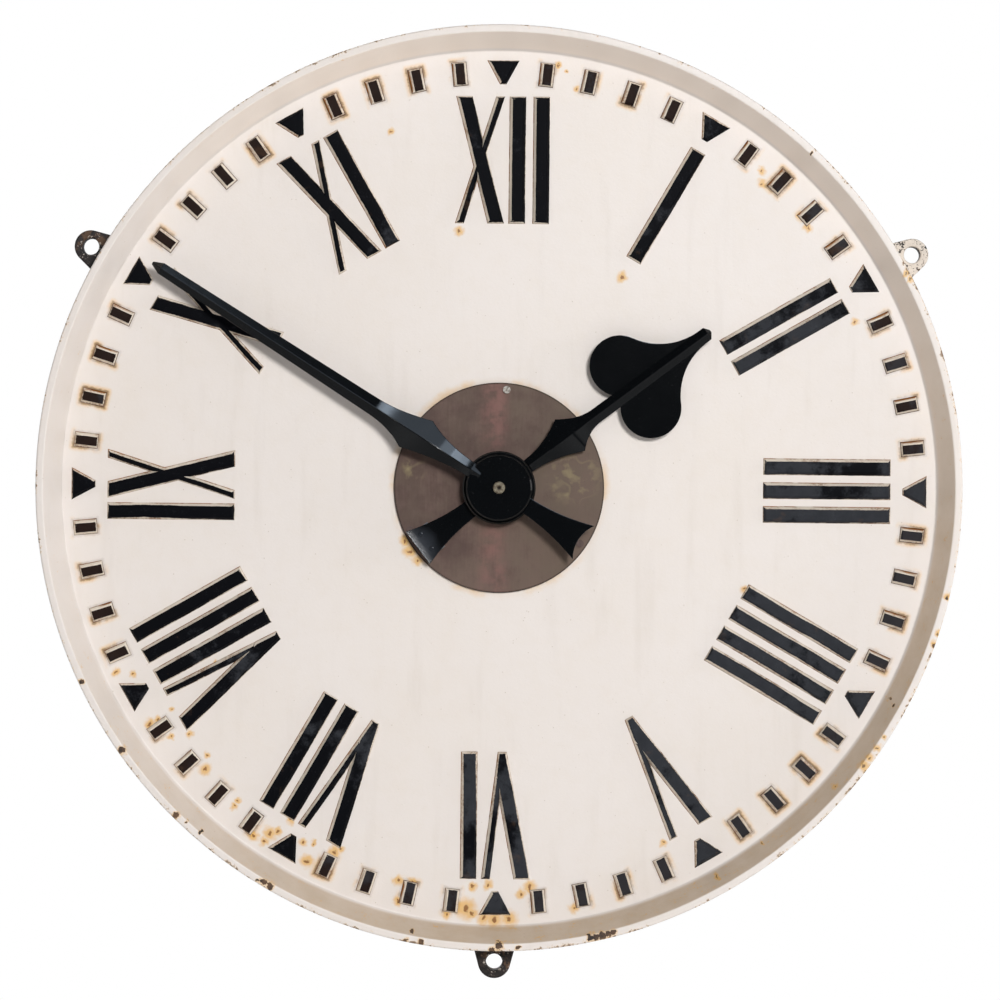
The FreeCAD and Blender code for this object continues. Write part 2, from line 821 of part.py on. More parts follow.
def hour_counterweight():
    """Weight riveted behind the hour hand's tail."""
    half = size.hour_tail_width / 2 - size.counterweight_margin
    far = size.counterweight_margin / 2 - size.hour_tail_radius
    back = hour_back + size.counterweight_thickness
    near = far + size.counterweight_length
    weight = block("counterweight_blank", (-half, hour_back, far), (half, back, near))
    holes = []
    for index, (x, z) in enumerate(hour_rivet_places()):
        hole_radius = size.rivet_radius + size.fixed_fit
        holes.append(rod(f"counterweight_hole_{index}", hole_radius, hour_back - PAST, back + PAST, x, z))
    piece = cut("hour_counterweight", weight, holes)
    place(piece, turn=spin(size.hour_angle))
    return piece


def hour_hand_rivets():
    seat = hour_back - size.tail_thickness
    back = hour_back + size.counterweight_thickness
    top = seat - size.rivet_head_height
    rivets = []
    for index, (x, z) in enumerate(hour_rivet_places()):
        rivets.append(turned(f"hour_hand_rivet_{index}", [
            (0, back), (size.rivet_radius, back), (size.rivet_radius, seat),
            (size.rivet_head_radius, seat), (size.rivet_crown_radius, top), (0, top)], x, z))
    pair = group("hour_hand_rivets", rivets)
    place(pair, turn=spin(size.hour_angle))
    return pair


def hand_boss(name, radius, sleeve, bore, front, back, end):
    """Flange that lies on the hand, with a sleeve through it and a tapped hole for its set screw."""
    bevel = size.boss_bevel
    blank = turned(name + "_blank", [
        (bore, front), (radius - bevel, front), (radius, front + bevel), (radius, back),
        (sleeve, back), (sleeve, end), (bore, end)])
    tapping = document.addObject("Part::Cylinder", name + "_tapping")
    bind(tapping, Radius=size.set_screw_radius + size.fixed_fit, Height=radius)
    place(tapping, 0, (front + back) / 2, 0)
    return cut(name, blank, [tapping])


def set_screw(name, radius, bore, front, back):
    """Headless screw that grips the arbor through its boss."""
    screw = document.addObject("Part::Cylinder", name)
    start = bore + size.fixed_fit
    bind(screw, Radius=size.set_screw_radius, Height=radius - size.set_screw_recess - start)
    place(screw, 0, (front + back) / 2, start)
    return screw


def boss_nut(name, radius, sleeve, front, back):
    """Round nut that holds the hand against its boss from behind."""
    return ring(name, sleeve + size.fixed_fit, radius, front, back)


# Gears

def polar(radius, angle):
    return Vector(radius * math.cos(angle), 0, radius * math.sin(angle))


def arc_edge(radius, start, end):
    return Part.Arc(polar(radius, start), polar(radius, (start + end) / 2), polar(radius, end)).toShape()


def involute(angle):
    return math.tan(angle) - angle


def gear_outline(teeth, module, phase):
    """Closed wire of an involute gear with one tooth centred on the phase angle."""
    pressure = math.radians(size.pressure_angle.number)
    pitch = module * teeth / 2
    base = pitch * math.cos(pressure)
    root, tip = pitch - DEDENDUM * module, pitch + module
    half_tooth = (math.pi * module - size.backlash.number) / (4 * pitch)
    start = max(base, root)

    def half_angle(radius):
        return half_tooth + involute(pressure) - involute(math.acos(min(1, base / radius)))

    radii = [start + (tip - start) * step / (FLANK_POINTS - 1) for step in range(FLANK_POINTS)]
    edges = []
    for tooth in range(teeth):
        middle = phase + 2 * math.pi * tooth / teeth
        following = middle + 2 * math.pi / teeth
        for side, order in ((-1, radii), (1, radii[::-1])):
            flank = Part.BSplineCurve()
            flank.interpolate([polar(radius, middle + side * half_angle(radius)) for radius in order])
            foot = middle + side * half_angle(start)
            leg = [polar(root, foot), polar(start, foot)]
            if root < base and side < 0:
                edges.append(Part.makeLine(*leg))
            edges.append(flank.toShape())
            if side < 0:
                edges.append(arc_edge(tip, middle - half_angle(tip), middle + half_angle(tip)))
            if root < base and side > 0:
                edges.append(Part.makeLine(*leg[::-1]))
        edges.append(arc_edge(root, middle + half_angle(start), following - half_angle(start)))
    return Part.Wire(edges)


def wheel_window(inner, outer, arm, middle, sweep):
    """Opening between two arms of a wheel."""
    near = sweep / 2 - math.asin(arm / 2 / inner)
    far = sweep / 2 - math.asin(arm / 2 / outer)
    return Part.Wire([
        arc_edge(inner, middle - near, middle + near),
        Part.makeLine(polar(inner, middle + near), polar(outer, middle + far)),
        arc_edge(outer, middle + far, middle - far),
        Part.makeLine(polar(outer, middle - far), polar(inner, middle - near)),
    ])


def gear(name, teeth, module, bore, front, thickness, phase=0, windows=False, extra=None, x=0, z=0):
    """Spur gear about an axis along Y, with an optional plain round part joined to it."""
    teeth = int(teeth.number)
    bore = bore.number
    circle = Part.Wire(Part.makeCircle(bore, Vector(), Vector(0, 1, 0)))
    wires = [gear_outline(teeth, module.number, math.radians(phase)), circle]
    if windows:
        inner = bore + size.wheel_hub_wall.number
        outer = module.number * (teeth / 2 - DEDENDUM) - size.wheel_rim.number
        sweep = 2 * math.pi / WHEEL_ARMS
        for index in range(WHEEL_ARMS):
            wires.append(wheel_window(inner, outer, size.wheel_arm_width.number, index * sweep, sweep))
    face = Part.makeFace(wires, "Part::FaceMakerBullseye")
    shape = face.extrude(Vector(0, thickness.number, 0))
    if extra:
        radius, extra_front, extra_back = [value.number for value in extra]
        length = extra_back - extra_front
        axis, start = Vector(0, 1, 0), Vector(0, extra_front - front.number, 0)
        tube = Part.makeCylinder(radius, length, start, axis)
        shape = shape.fuse(tube.cut(Part.makeCylinder(bore, length, start, axis)))
    piece = document.addObject("Part::Feature", name)
    piece.Shape = shape
    place(piece, x, front, z)
    return piece


def facing_gap(teeth, towards):
    """Phase that turns a gap between teeth to a direction."""
    return towards + 180 / teeth.number


# Motion work between the dial and the front plate

def cannon_pinion():
    front = minute_sleeve_end + size.end_shake
    teeth_front = -size.cannon_teeth_front
    extra = (cannon_radius, front, teeth_front)
    return gear("cannon_pinion", size.cannon_teeth, size.motion_module, size.arbor_radius + size.fixed_fit,
                teeth_front, size.cannon_teeth_length, 90, False, extra)


def hour_pipe():
    """Pipe that carries the hour hand and its wheel, and runs on the cannon pinion."""
    wheel_front = -size.hour_wheel_front
    back = wheel_front + size.wheel_thickness
    return ring("hour_pipe", hour_pipe_bore, hour_pipe_radius, hour_flange_front, back)


def hour_wheel():
    return gear("hour_wheel", size.hour_wheel_teeth, size.motion_module, hour_pipe_radius + size.fixed_fit,
                -size.hour_wheel_front, size.wheel_thickness, 90, True)


def minute_wheel():
    bore = size.stud_radius + size.running_fit + size.pinion_pipe_wall + size.fixed_fit
    return gear("minute_wheel", size.minute_wheel_teeth, size.motion_module, bore,
                -size.minute_wheel_front, size.wheel_thickness, facing_gap(size.minute_wheel_teeth, -90),
                True, None, 0, motion_distance)


def minute_pinion():
    front, wheel_front = -size.minute_pinion_front, -size.minute_wheel_front
    bore = size.stud_radius + size.running_fit
    extra = (bore + size.pinion_pipe_wall, wheel_front, wheel_front + size.wheel_thickness)
    return gear("minute_pinion", size.minute_pinion_teeth, size.motion_module, bore, front,
                wheel_front - front, facing_gap(size.minute_pinion_teeth, -90), False, extra,
                0, motion_distance)


def motion_stud():
    """Fixed stud for the minute wheel, riveted into the front plate."""
    tip_groove = -size.minute_pinion_front - size.end_shake
    groove_front = tip_groove - size.clip_thickness
    tip = groove_front - size.stud_tip
    neck = size.stud_radius - size.clip_groove
    shoulder = size.wheel_thickness - size.minute_wheel_front + size.end_shake
    radius, wide = size.stud_radius, size.stud_shoulder_radius
    return turned("motion_stud", [
        (0, tip), (radius, tip), (radius, groove_front), (neck, groove_front), (neck, tip_groove),
        (radius, tip_groove), (radius, shoulder), (wide, shoulder),
        (wide, size.front_plate_y), (radius, size.front_plate_y), (radius, front_plate_back),
        (0, front_plate_back)], 0, motion_distance)


def motion_clip():
    back = -size.minute_pinion_front - size.end_shake
    inner = size.stud_radius - size.clip_groove + size.fixed_fit
    return ring("motion_clip", inner, size.clip_radius, back - size.clip_thickness, back, 0, motion_distance)


# Frame of the movement

def arbor_places():
    """Pivot radius and axis of each arbor that runs in the plates."""
    return [
        (size.minute_pivot_radius, as_size(0), as_size(0)),
        (size.train_pivot_radius, train_x, train_z),
        (size.rotor_pivot_radius, rotor_x, rotor_z),
    ]


def movement_plate(name, front, holes):
    """Brass plate with rounded corners and round holes."""
    body = document.addObject("PartDesign::Body", name)
    sketch = body_sketch(body, "XZ_Plane", name + "_outline")
    half, top, bottom = size.plate_half_width, size.plate_top, -size.plate_bottom
    draw_outline(sketch, [(-half, bottom), (half, bottom), (half, top), (-half, top)])
    for radius, x, z in holes:
        draw_circle(sketch, radius, x, z)
    pad = body.newObject("PartDesign::Pad", name + "_pad")
    pad.Profile = sketch
    bind(pad, Length=size.plate_thickness)
    body.Tip = pad
    place(body, 0, front + size.plate_thickness, 0)
    document.recompute()
    corners = []
    for index, edge in enumerate(pad.Shape.Edges, start=1):
        at_side = abs(abs(edge.CenterOfMass.x) - half.number) < 0.01
        upright = abs(edge.Length - size.plate_thickness.number) < 0.01
        if at_side and upright:
            corners.append(f"Edge{index}")
    fillet = body.newObject("PartDesign::Fillet", name + "_corners")
    fillet.Base = (pad, corners)
    bind(fillet, Radius=size.plate_corner_radius)
    body.Tip = fillet
    return body


def bush_holes():
    wall = size.running_fit + size.bush_wall + size.fixed_fit
    return [(pivot + wall, x, z) for pivot, x, z in arbor_places()]


def front_plate():
    holes = bush_holes()
    holes.append((size.stud_radius + size.fixed_fit, as_size(0), motion_distance))
    holes += [(size.post_stud_radius + size.fixed_fit, x, z) for x, z in post_places]
    holes += [(size.pillar_spigot_radius + size.fixed_fit, x, z) for x, z in pillar_places]
    return movement_plate("front_plate", size.front_plate_y, holes)


def back_plate():
    screw = size.frame_screw_radius + size.fixed_fit
    holes = bush_holes()
    holes += [(screw, x, z) for x, z in pillar_places + yoke_screw_places()]
    holes += [(size.lead_radius + size.lead_hole_clearance, x, z) for x, z in lead_places()]
    holes += [(size.block_screw_radius + size.fixed_fit, x, z) for x, z in block_screw_places()]
    return movement_plate("back_plate", back_plate_y, holes)


def plate_pillars():
    """Pillars riveted to the front plate and tapped for the screws of the back plate."""
    pillars = []
    bore = size.frame_screw_radius + size.fixed_fit
    floor = back_plate_y - size.frame_screw_length
    for index, (x, z) in enumerate(pillar_places):
        pillars.append(turned(f"plate_pillar_{index}", [
            (0, size.front_plate_y), (size.pillar_spigot_radius, size.front_plate_y),
            (size.pillar_spigot_radius, front_plate_back), (size.pillar_radius, front_plate_back),
            (size.pillar_radius, back_plate_y), (bore, back_plate_y), (bore, floor), (0, floor)], x, z))
    return group("plate_pillars", pillars)


def pillar_screws():
    screws = []
    for index, (x, z) in enumerate(pillar_places):
        screws.append(slotted_screw(
            f"pillar_screw_{index}", size.frame_screw_radius, size.frame_screw_length,
            size.frame_screw_head_radius, size.frame_screw_head_height, back_plate_back, False, x, z))
    return group("pillar_screws", screws)


def movement_posts():
    """Posts that stand on the dial's bosses, with a stud at each end."""
    posts = []
    stud_front = post_seat - size.post_stud_depth
    stud_back = front_plate_back + size.post_nut_thickness
    for index, (x, z) in enumerate(post_places):
        posts.append(turned(f"movement_post_{index}", [
            (0, stud_front), (size.post_stud_radius, stud_front), (size.post_stud_radius, post_seat),
            (size.post_radius, post_seat), (size.post_radius, size.front_plate_y),
            (size.post_stud_radius, size.front_plate_y), (size.post_stud_radius, stud_back),
            (0, stud_back)], x, z))
    return group("movement_posts", posts)


def post_nuts():
    width, thickness = size.post_nut_width, size.post_nut_thickness
    bore = size.post_stud_radius + size.fixed_fit
    return group("post_nuts", [
        hex_nut(f"post_nut_{index}", width, bore, front_plate_back, thickness, x, z)
        for index, (x, z) in enumerate(post_places)
    ])


def bushes(name, plate_front, flange_inside):
    """Flanged bushes pressed into a plate, one for each arbor."""
    plate_back = plate_front + size.plate_thickness
    pieces = []
    for index, (pivot, x, z) in enumerate(arbor_places()):
        bore = pivot + size.running_fit
        body = bore + size.bush_wall
        flange = body + size.bush_flange
        if flange_inside:
            seat, end, far = plate_back, plate_back + size.bush_flange_thickness, plate_front
        else:
            seat, end, far = plate_front, plate_front - size.bush_flange_thickness, plate_back
        pieces.append(turned(f"{name}_{index}", [
            (bore, far), (body, far), (body, seat), (flange, seat), (flange, end), (bore, end)], x, z))
    return group(name, pieces)


# Arbors and wheels between the plates

shoulder_front = front_plate_back + size.bush_flange_thickness + size.end_shake
shoulder_back = back_plate_y - size.bush_flange_thickness - size.end_shake


def minute_arbor():
    """Arbor from the minute hand at the front to the setting knob at the back."""
    front = minute_flange_front - size.arbor_proud
    radius, pivot, seat = size.arbor_radius, size.minute_pivot_radius, size.centre_seat_radius
    dimple, bevel = size.arbor_centre_radius, size.arbor_bevel
    cannon_back = size.cannon_teeth_length - size.cannon_teeth_front
    knob_back = back_plate_back + size.knob_gap + size.knob_length
    return turned("minute_arbor", [
        (0, front + dimple), (dimple, front), (radius - bevel, front), (radius, front + bevel),
        (radius, cannon_back), (pivot, cannon_back), (pivot, shoulder_front), (seat, shoulder_front),
        (seat, size.centre_wheel_y), (radius, size.centre_wheel_y), (radius, shoulder_back),
        (pivot, shoulder_back), (pivot, knob_back), (0, knob_back)])


def centre_wheel():
    bore = size.arbor_radius + size.fixed_fit
    return gear("centre_wheel", size.centre_wheel_teeth, size.train_module, bore, size.centre_wheel_y,
                size.wheel_thickness, size.train_arbor_angle.number, True)


def clutch_spring():
    """Dished washer that presses the centre wheel to its seat, so that the hands can be set."""
    back = size.centre_wheel_y + size.wheel_thickness
    inner = size.arbor_radius + size.fixed_fit
    lift = size.clutch_spring_thickness
    return turned("clutch_spring", [
        (inner, back + lift), (size.clutch_spring_radius, back), (size.clutch_spring_radius, back + lift),
        (inner, back + lift * 2)])


def clutch_collar():
    front = size.centre_wheel_y + size.wheel_thickness + size.clutch_spring_thickness * 2
    inner = size.arbor_radius + size.fixed_fit
    return ring("clutch_collar", inner, size.clutch_collar_radius, front, front + size.clutch_collar_length)


def setting_knob():
    """Fluted knob on the back end of the minute arbor."""
    front = back_plate_back + size.knob_gap
    back = front + size.knob_length
    inner, radius, bevel = size.minute_pivot_radius + size.fixed_fit, size.knob_radius, size.boss_bevel
    blank = turned("knob_blank", [
        (inner, front), (radius - bevel, front), (radius, front + bevel), (radius, back - bevel),
        (radius - bevel, back), (inner, back)])
    flute_circle = radius + size.knob_flute_radius / 2
    flutes = []
    for index in range(KNOB_FLUTES):
        turn = index * 360 / KNOB_FLUTES
        flutes.append(rod(f"knob_flute_{index}", size.knob_flute_radius, front - PAST, back + PAST,
                          flute_circle * sine(turn), flute_circle * cosine(turn)))
    return cut("setting_knob", blank, flutes)


def train_arbor(name, radius, pivot, x, z):
    """Arbor with a pivot in each plate."""
    return turned(name, [
        (0, size.front_plate_y), (pivot, size.front_plate_y), (pivot, shoulder_front),
        (radius, shoulder_front), (radius, shoulder_back), (pivot, shoulder_back),
        (pivot, back_plate_back), (0, back_plate_back)], x, z)


def intermediate_pinion():
    towards = size.train_arbor_angle.number + 180
    return gear("intermediate_pinion", size.train_pinion_teeth, size.train_module,
                size.train_arbor_radius + size.fixed_fit, size.train_pinion_y, size.train_pinion_length,
                facing_gap(size.train_pinion_teeth, towards), False, None, train_x, train_z)


def intermediate_wheel():
    return gear("intermediate_wheel", size.intermediate_wheel_teeth, size.rotor_module,
                size.train_arbor_radius + size.fixed_fit, size.intermediate_wheel_y, size.wheel_thickness,
                size.rotor_arbor_angle.number, True, None, train_x, train_z)


def rotor_pinion():
    towards = size.rotor_arbor_angle.number + 180
    return gear("rotor_pinion", size.train_pinion_teeth, size.rotor_module,
                size.rotor_arbor_radius + size.fixed_fit, size.rotor_pinion_y, size.rotor_pinion_length,
                facing_gap(size.train_pinion_teeth, towards), False, None, rotor_x, rotor_z)


def rotor_magnet():
    return ring("rotor_magnet", size.rotor_arbor_radius + size.fixed_fit, size.rotor_radius,
                size.rotor_y, size.rotor_y + size.rotor_length, rotor_x, rotor_z)


# Electromagnet and its connections

yoke_front = size.rotor_y + size.yoke_inset
yoke_back = size.rotor_y + size.rotor_length - size.yoke_inset
yoke_middle = (yoke_front + yoke_back) / 2
core_right = rotor_x + size.yoke_reach
core_left = core_right - size.core_width
core_middle = (core_left + core_right) / 2
opening_top = rotor_z + size.yoke_opening / 2
opening_bottom = rotor_z - size.yoke_opening / 2


def yoke_screw_places():
    x = rotor_x + size.yoke_screw_offset
    arm_middle = size.yoke_opening / 2 + size.yoke_arm_width / 2
    return [(x, rotor_z + arm_middle), (x, rotor_z - arm_middle)]


def lead_places():
    z = opening_top - size.yoke_arm_width
    return [(core_middle + side * size.lead_half_spacing, z) for side in (-1, 1)]


def terminal_places():
    z = size.block_top_z - size.block_height / 2
    return [(core_middle + side * size.lead_half_spacing, z) for side in (-1, 1)]


def block_screw_places():
    z = size.block_top_z - size.block_height / 2
    reach = size.block_width / 2 - size.block_screw_inset
    return [(core_middle + side * reach, z) for side in (-1, 1)]


def stator_yoke():
    """Iron yoke: two pole shoes round the rotor, two arms and the core of the coil."""
    arm = size.yoke_arm_width
    left = rotor_x - size.shoe_width / 2
    right = rotor_x + size.shoe_width / 2
    top, bottom = opening_top, opening_bottom
    solids = [
        block("yoke_top_arm", (left, yoke_front, top), (core_right, yoke_back, top + arm)),
        block("yoke_bottom_arm", (left, yoke_front, bottom - arm), (core_right, yoke_back, bottom)),
        block("yoke_core", (core_left, yoke_front, bottom), (core_right, yoke_back, top)),
        block("yoke_top_shoe", (left, yoke_front, rotor_z + arm), (right, yoke_back, top)),
        block("yoke_bottom_shoe", (left, yoke_front, bottom), (right, yoke_back, rotor_z - arm)),
    ]
    past_front, past_back = yoke_front - PAST, yoke_back + PAST
    bore = rod("yoke_bore", size.rotor_radius + size.air_gap, past_front, past_back, rotor_x, rotor_z)
    tap_radius = size.frame_screw_radius + size.fixed_fit
    taps = [
        rod(f"yoke_tapping_{index}", tap_radius, past_front, past_back, x, z)
        for index, (x, z) in enumerate(yoke_screw_places())
    ]
    return cut("stator_yoke", joined("yoke_blank", solids), [bore] + taps)


def coil_layer(name, half_x, half_y, bottom, top):
    """Upright block centred on the coil's core."""
    return block(name, (core_middle - half_x, yoke_middle - half_y, bottom),
                 (core_middle + half_x, yoke_middle + half_y, top))


core_half_x = size.core_width / 2 + size.fixed_fit
core_half_y = (yoke_back - yoke_front) / 2 + size.fixed_fit
tube_half_x = core_half_x + size.bobbin_wall
tube_half_y = core_half_y + size.bobbin_wall


def coil_bobbin():
    """Square tube on the core with a cheek at each end."""
    half = size.bobbin_cheek / 2
    solids = [
        coil_layer("bobbin_tube", tube_half_x, tube_half_y, opening_bottom, opening_top),
        coil_layer("bobbin_low_cheek", half, half, opening_bottom, opening_bottom + size.cheek_thickness),
        coil_layer("bobbin_high_cheek", half, half, opening_top - size.cheek_thickness, opening_top),
    ]
    core = coil_layer("bobbin_core", core_half_x, core_half_y, opening_bottom - PAST, opening_top + PAST)
    return cut("coil_bobbin", joined("bobbin_blank", solids), [core])


def coil_wrap():
    """Taped outside of the winding between the cheeks."""
    body = document.addObject("PartDesign::Body", "coil_wrap")
    sketch = body_sketch(body, "XY_Plane", "coil_wrap_outline")
    half = size.winding_width / 2
    draw_outline(sketch, [(-half, -half), (half, -half), (half, half), (-half, half)])
    wide, deep = tube_half_x + size.fixed_fit, tube_half_y + size.fixed_fit
    draw_outline(sketch, [(-wide, -deep), (wide, -deep), (wide, deep), (-wide, deep)])
    pad = body.newObject("PartDesign::Pad", "coil_wrap_pad")
    pad.Profile = sketch
    bind(pad, Length=size.yoke_opening - size.cheek_thickness * 2)
    body.Tip = pad
    place(body, core_middle, yoke_middle, opening_bottom + size.cheek_thickness)
    document.recompute()
    corners = []
    for index, edge in enumerate(pad.Shape.Edges, start=1):
        direction = edge.tangentAt(edge.FirstParameter)
        if abs(direction.z) > 0.99 and abs(abs(edge.CenterOfMass.x) - half.number) < 0.01:
            corners.append(f"Edge{index}")
    fillet = body.newObject("PartDesign::Fillet", "coil_wrap_corners")
    fillet.Base = (pad, corners)
    bind(fillet, Radius=size.winding_corner)
    body.Tip = fillet
    return body


def coil_leads():
    """Two insulated wires from the coil through the back plate to the terminal block."""
    leads = []
    start_y = (yoke_middle + size.winding_width / 2).number
    turn_y = (back_plate_back + size.lead_standoff).number
    end_z = (size.block_top_z - size.lead_entry).number
    bend, radius = size.lead_bend.number, size.lead_radius.number
    for index, (x, z) in enumerate(lead_places()):
        x, z = x.number, z.number
        bend_start, bend_end = Vector(x, turn_y - bend, z), Vector(x, turn_y, z - bend)
        diagonal = bend * math.sqrt(0.5)
        bend_middle = Vector(x, turn_y - bend + diagonal, z - bend + diagonal)
        path = Part.Wire([
            Part.makeLine(Vector(x, start_y, z), bend_start),
            Part.Arc(bend_start, bend_middle, bend_end).toShape(),
            Part.makeLine(bend_end, Vector(x, turn_y, end_z)),
        ])
        section = Part.Wire(Part.makeCircle(radius, Vector(x, start_y, z), Vector(0, 1, 0)))
        lead = document.addObject("Part::Feature", f"coil_lead_{index}")
        lead.Shape = path.makePipeShell([section], True, True)
        leads.append(lead)
    return group("coil_leads", leads)


def stator_spacers():
    bore = size.frame_screw_radius + size.fixed_fit
    return group("stator_spacers", [
        ring(f"stator_spacer_{index}", bore, size.spacer_radius, yoke_back, back_plate_y, x, z)
        for index, (x, z) in enumerate(yoke_screw_places())
    ])


def stator_screws():
    length = back_plate_back - yoke_middle
    return group("stator_screws", [
        slotted_screw(f"stator_screw_{index}", size.frame_screw_radius, length, size.frame_screw_head_radius,
                      size.frame_screw_head_height, back_plate_back, False, x, z)
        for index, (x, z) in enumerate(yoke_screw_places())
    ])


def terminal_block():
    """Insulating block with a screw terminal for each lead."""
    half = size.block_width / 2
    top, back = size.block_top_z, back_plate_back + size.block_depth
    blank = block("terminal_blank", (core_middle - half, back_plate_back, top - size.block_height),
                  (core_middle + half, back, top))
    tools = []
    for index, (x, z) in enumerate(terminal_places()):
        floor = back - size.terminal_screw_length
        bore = size.terminal_screw_radius + size.fixed_fit
        tools.append(rod(f"terminal_bore_{index}", bore, floor, back + PAST, x, z))
        entry = document.addObject("Part::Cylinder", f"lead_entry_{index}")
        bind(entry, Radius=size.lead_radius + size.fixed_fit, Height=size.lead_entry + PAST)
        place(entry, x, back_plate_back + size.lead_standoff, top - size.lead_entry)
        tools.append(entry)
    for index, (x, z) in enumerate(block_screw_places()):
        bore = size.block_screw_radius + size.fixed_fit
        tools.append(rod(f"block_bore_{index}", bore, back_plate_back - PAST, back + PAST, x, z))
    return cut("terminal_block", blank, tools)


def terminal_screws():
    back = back_plate_back + size.block_depth
    return group("terminal_screws", [
        slotted_screw(f"terminal_screw_{index}", size.terminal_screw_radius, size.terminal_screw_length,
                      size.terminal_head_radius, size.terminal_head_height, back, False, x, z)
        for index, (x, z) in enumerate(terminal_places())
    ])


def block_screws():
    back = back_plate_back + size.block_depth
    length = size.block_depth + size.plate_thickness
    return group("block_screws", [
        slotted_screw(f"block_screw_{index}", size.block_screw_radius, length, size.block_screw_head_radius,
                      size.block_screw_head_height, back, False, x, z)
        for index, (x, z) in enumerate(block_screw_places())
    ])


# Assembly

minute_bore = size.arbor_radius + size.fixed_fit
hour_bore = hour_pipe_radius + size.fixed_fit
pieces = [
    dial_casting(),
    centre_plate(),
    centre_plate_screws(),
    minute_hand(),
    hand_boss("minute_hand_boss", size.minute_boss_radius, size.minute_sleeve_radius, minute_bore,
              minute_flange_front, minute_flange_back, minute_sleeve_end),
    boss_nut("minute_boss_nut", size.minute_nut_radius, size.minute_sleeve_radius,
             minute_back, minute_sleeve_end),
    set_screw("minute_set_screw", size.minute_boss_radius, minute_bore,
              minute_flange_front, minute_flange_back),
    hour_hand(),
    hour_counterweight(),
    hour_hand_rivets(),
    hand_boss("hour_hand_boss", size.hour_boss_radius, size.hour_sleeve_radius, hour_bore,
              hour_flange_front, hour_flange_back, hour_sleeve_end),
    boss_nut("hour_boss_nut", size.hour_nut_radius, size.hour_sleeve_radius, hour_back, hour_sleeve_end),
    set_screw("hour_set_screw", size.hour_boss_radius, hour_bore, hour_flange_front, hour_flange_back),
    cannon_pinion(),
    hour_pipe(),
    hour_wheel(),
    minute_wheel(),
    minute_pinion(),
    motion_stud(),
    motion_clip(),
    front_plate(),
    back_plate(),
    plate_pillars(),
    pillar_screws(),
    movement_posts(),
    post_nuts(),
    bushes("front_bushes", size.front_plate_y, True),
    bushes("back_bushes", back_plate_y, False),
    minute_arbor(),
    centre_wheel(),
    clutch_spring(),
    clutch_collar(),
    setting_knob(),
    train_arbor("intermediate_arbor", size.train_arbor_radius, size.train_pivot_radius, train_x, train_z),
    intermediate_pinion(),
    intermediate_wheel(),
    train_arbor("rotor_arbor", size.rotor_arbor_radius, size.rotor_pivot_radius, rotor_x, rotor_z),
    rotor_pinion(),
    rotor_magnet(),
    stator_yoke(),
    coil_bobbin(),
    coil_wrap(),
    coil_leads(),
    stator_spacers(),
    stator_screws(),
    terminal_block(),
    terminal_screws(),
    block_screws(),
]
document.recompute()

# Check everything, then write one file for each piece
for item in document.Objects:
    if "Invalid" in item.State or "Error" in item.State:
        raise RuntimeError(f"{item.Label} failed: {item.State}")
for piece in pieces:
    if piece.Shape.isNull() or not piece.Shape.isValid():
        raise RuntimeError(f"{piece.Label} has no valid shape")

os.makedirs("parts", exist_ok=True)
for piece in pieces:
    piece.Shape.exportStep(f"parts/{piece.Label}.step")
    solids = len(piece.Shape.Solids)
    print(f"{piece.Label}: {solids} solid(s), {piece.Shape.Volume / 1000:.1f} cm3")
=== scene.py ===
"""Railway clock: a painted cast-iron dial with its hands, centre plate and the movement behind."""
import json
import math

import bmesh
import bpy
from mathutils import Matrix, Vector


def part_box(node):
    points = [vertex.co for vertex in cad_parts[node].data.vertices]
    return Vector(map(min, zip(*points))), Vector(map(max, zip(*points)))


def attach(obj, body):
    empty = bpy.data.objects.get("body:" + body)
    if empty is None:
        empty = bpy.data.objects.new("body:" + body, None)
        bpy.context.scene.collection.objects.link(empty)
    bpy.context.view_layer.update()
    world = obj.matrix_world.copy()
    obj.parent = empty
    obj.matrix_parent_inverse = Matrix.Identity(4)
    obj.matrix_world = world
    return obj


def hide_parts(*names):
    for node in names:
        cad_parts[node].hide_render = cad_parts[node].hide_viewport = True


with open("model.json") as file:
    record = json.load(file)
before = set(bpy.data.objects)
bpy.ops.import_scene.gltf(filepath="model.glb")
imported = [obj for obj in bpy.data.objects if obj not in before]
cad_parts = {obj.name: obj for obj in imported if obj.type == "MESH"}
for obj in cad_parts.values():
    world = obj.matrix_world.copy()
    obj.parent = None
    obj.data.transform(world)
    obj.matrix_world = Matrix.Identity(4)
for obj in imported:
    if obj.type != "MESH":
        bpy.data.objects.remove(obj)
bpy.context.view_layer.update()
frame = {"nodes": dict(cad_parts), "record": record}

MM = 0.001
MERGE = 0.002 * MM
HAIR = 0.05

# Sizes of the dial, in millimetres from the clock's axis and from the mounting plane
RIM_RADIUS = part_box("dial_casting")[1][0] / MM
RIM_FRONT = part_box("dial_casting")[0][1] / MM
LIP_OUTER = 454
LIP_INNER = 446.8
LIP_ROUND = 1.8
WALL_FOOT = 431.5
FOOT_ROUND = 2
BACK_ROUND = 6
SKIRT_ROUND = 0.8
FACE_FRONT = -20
FACE_BACK = -12
SKIRT_INNER = 448
CENTRE_HOLE = 85
HOLE_ROUND = 0.6
RELIEF_TOP = -25
RELIEF_REACH = 427
RELIEF_ROUND = 0.5
RELIEF_SINK = 1
MINUTE_STEP = math.radians(6)
MINUTES_TO_HOUR = 5
BAR_HALF = 8.1
BAR_MIDDLE = 410
BAR_REACH = 12.5
HUB_RING = 96
RING_ROUND = 1.5
BOSS_SEAT = -4
BOSS_ROUND = 1.2
BACK_SINK = 1
RIB_BACK = -3
RIB_WIDTH = 10
RIB_ROUND = 1.8
RIB_SINK = 5
RIB_TURNS = [30, 90, 150, 210, 270, 330]
POSTS = [(94, 48), (-94, 48), (94, -48), (-94, -48)]
POST_BOSS = 14
POST_DRAFT = 1
POST_HOLE = 4.02
POST_HOLE_ROUND = 0.5
LUG_CIRCLE = 468
LUG_END = 16
LUG_HOLE = 8.2
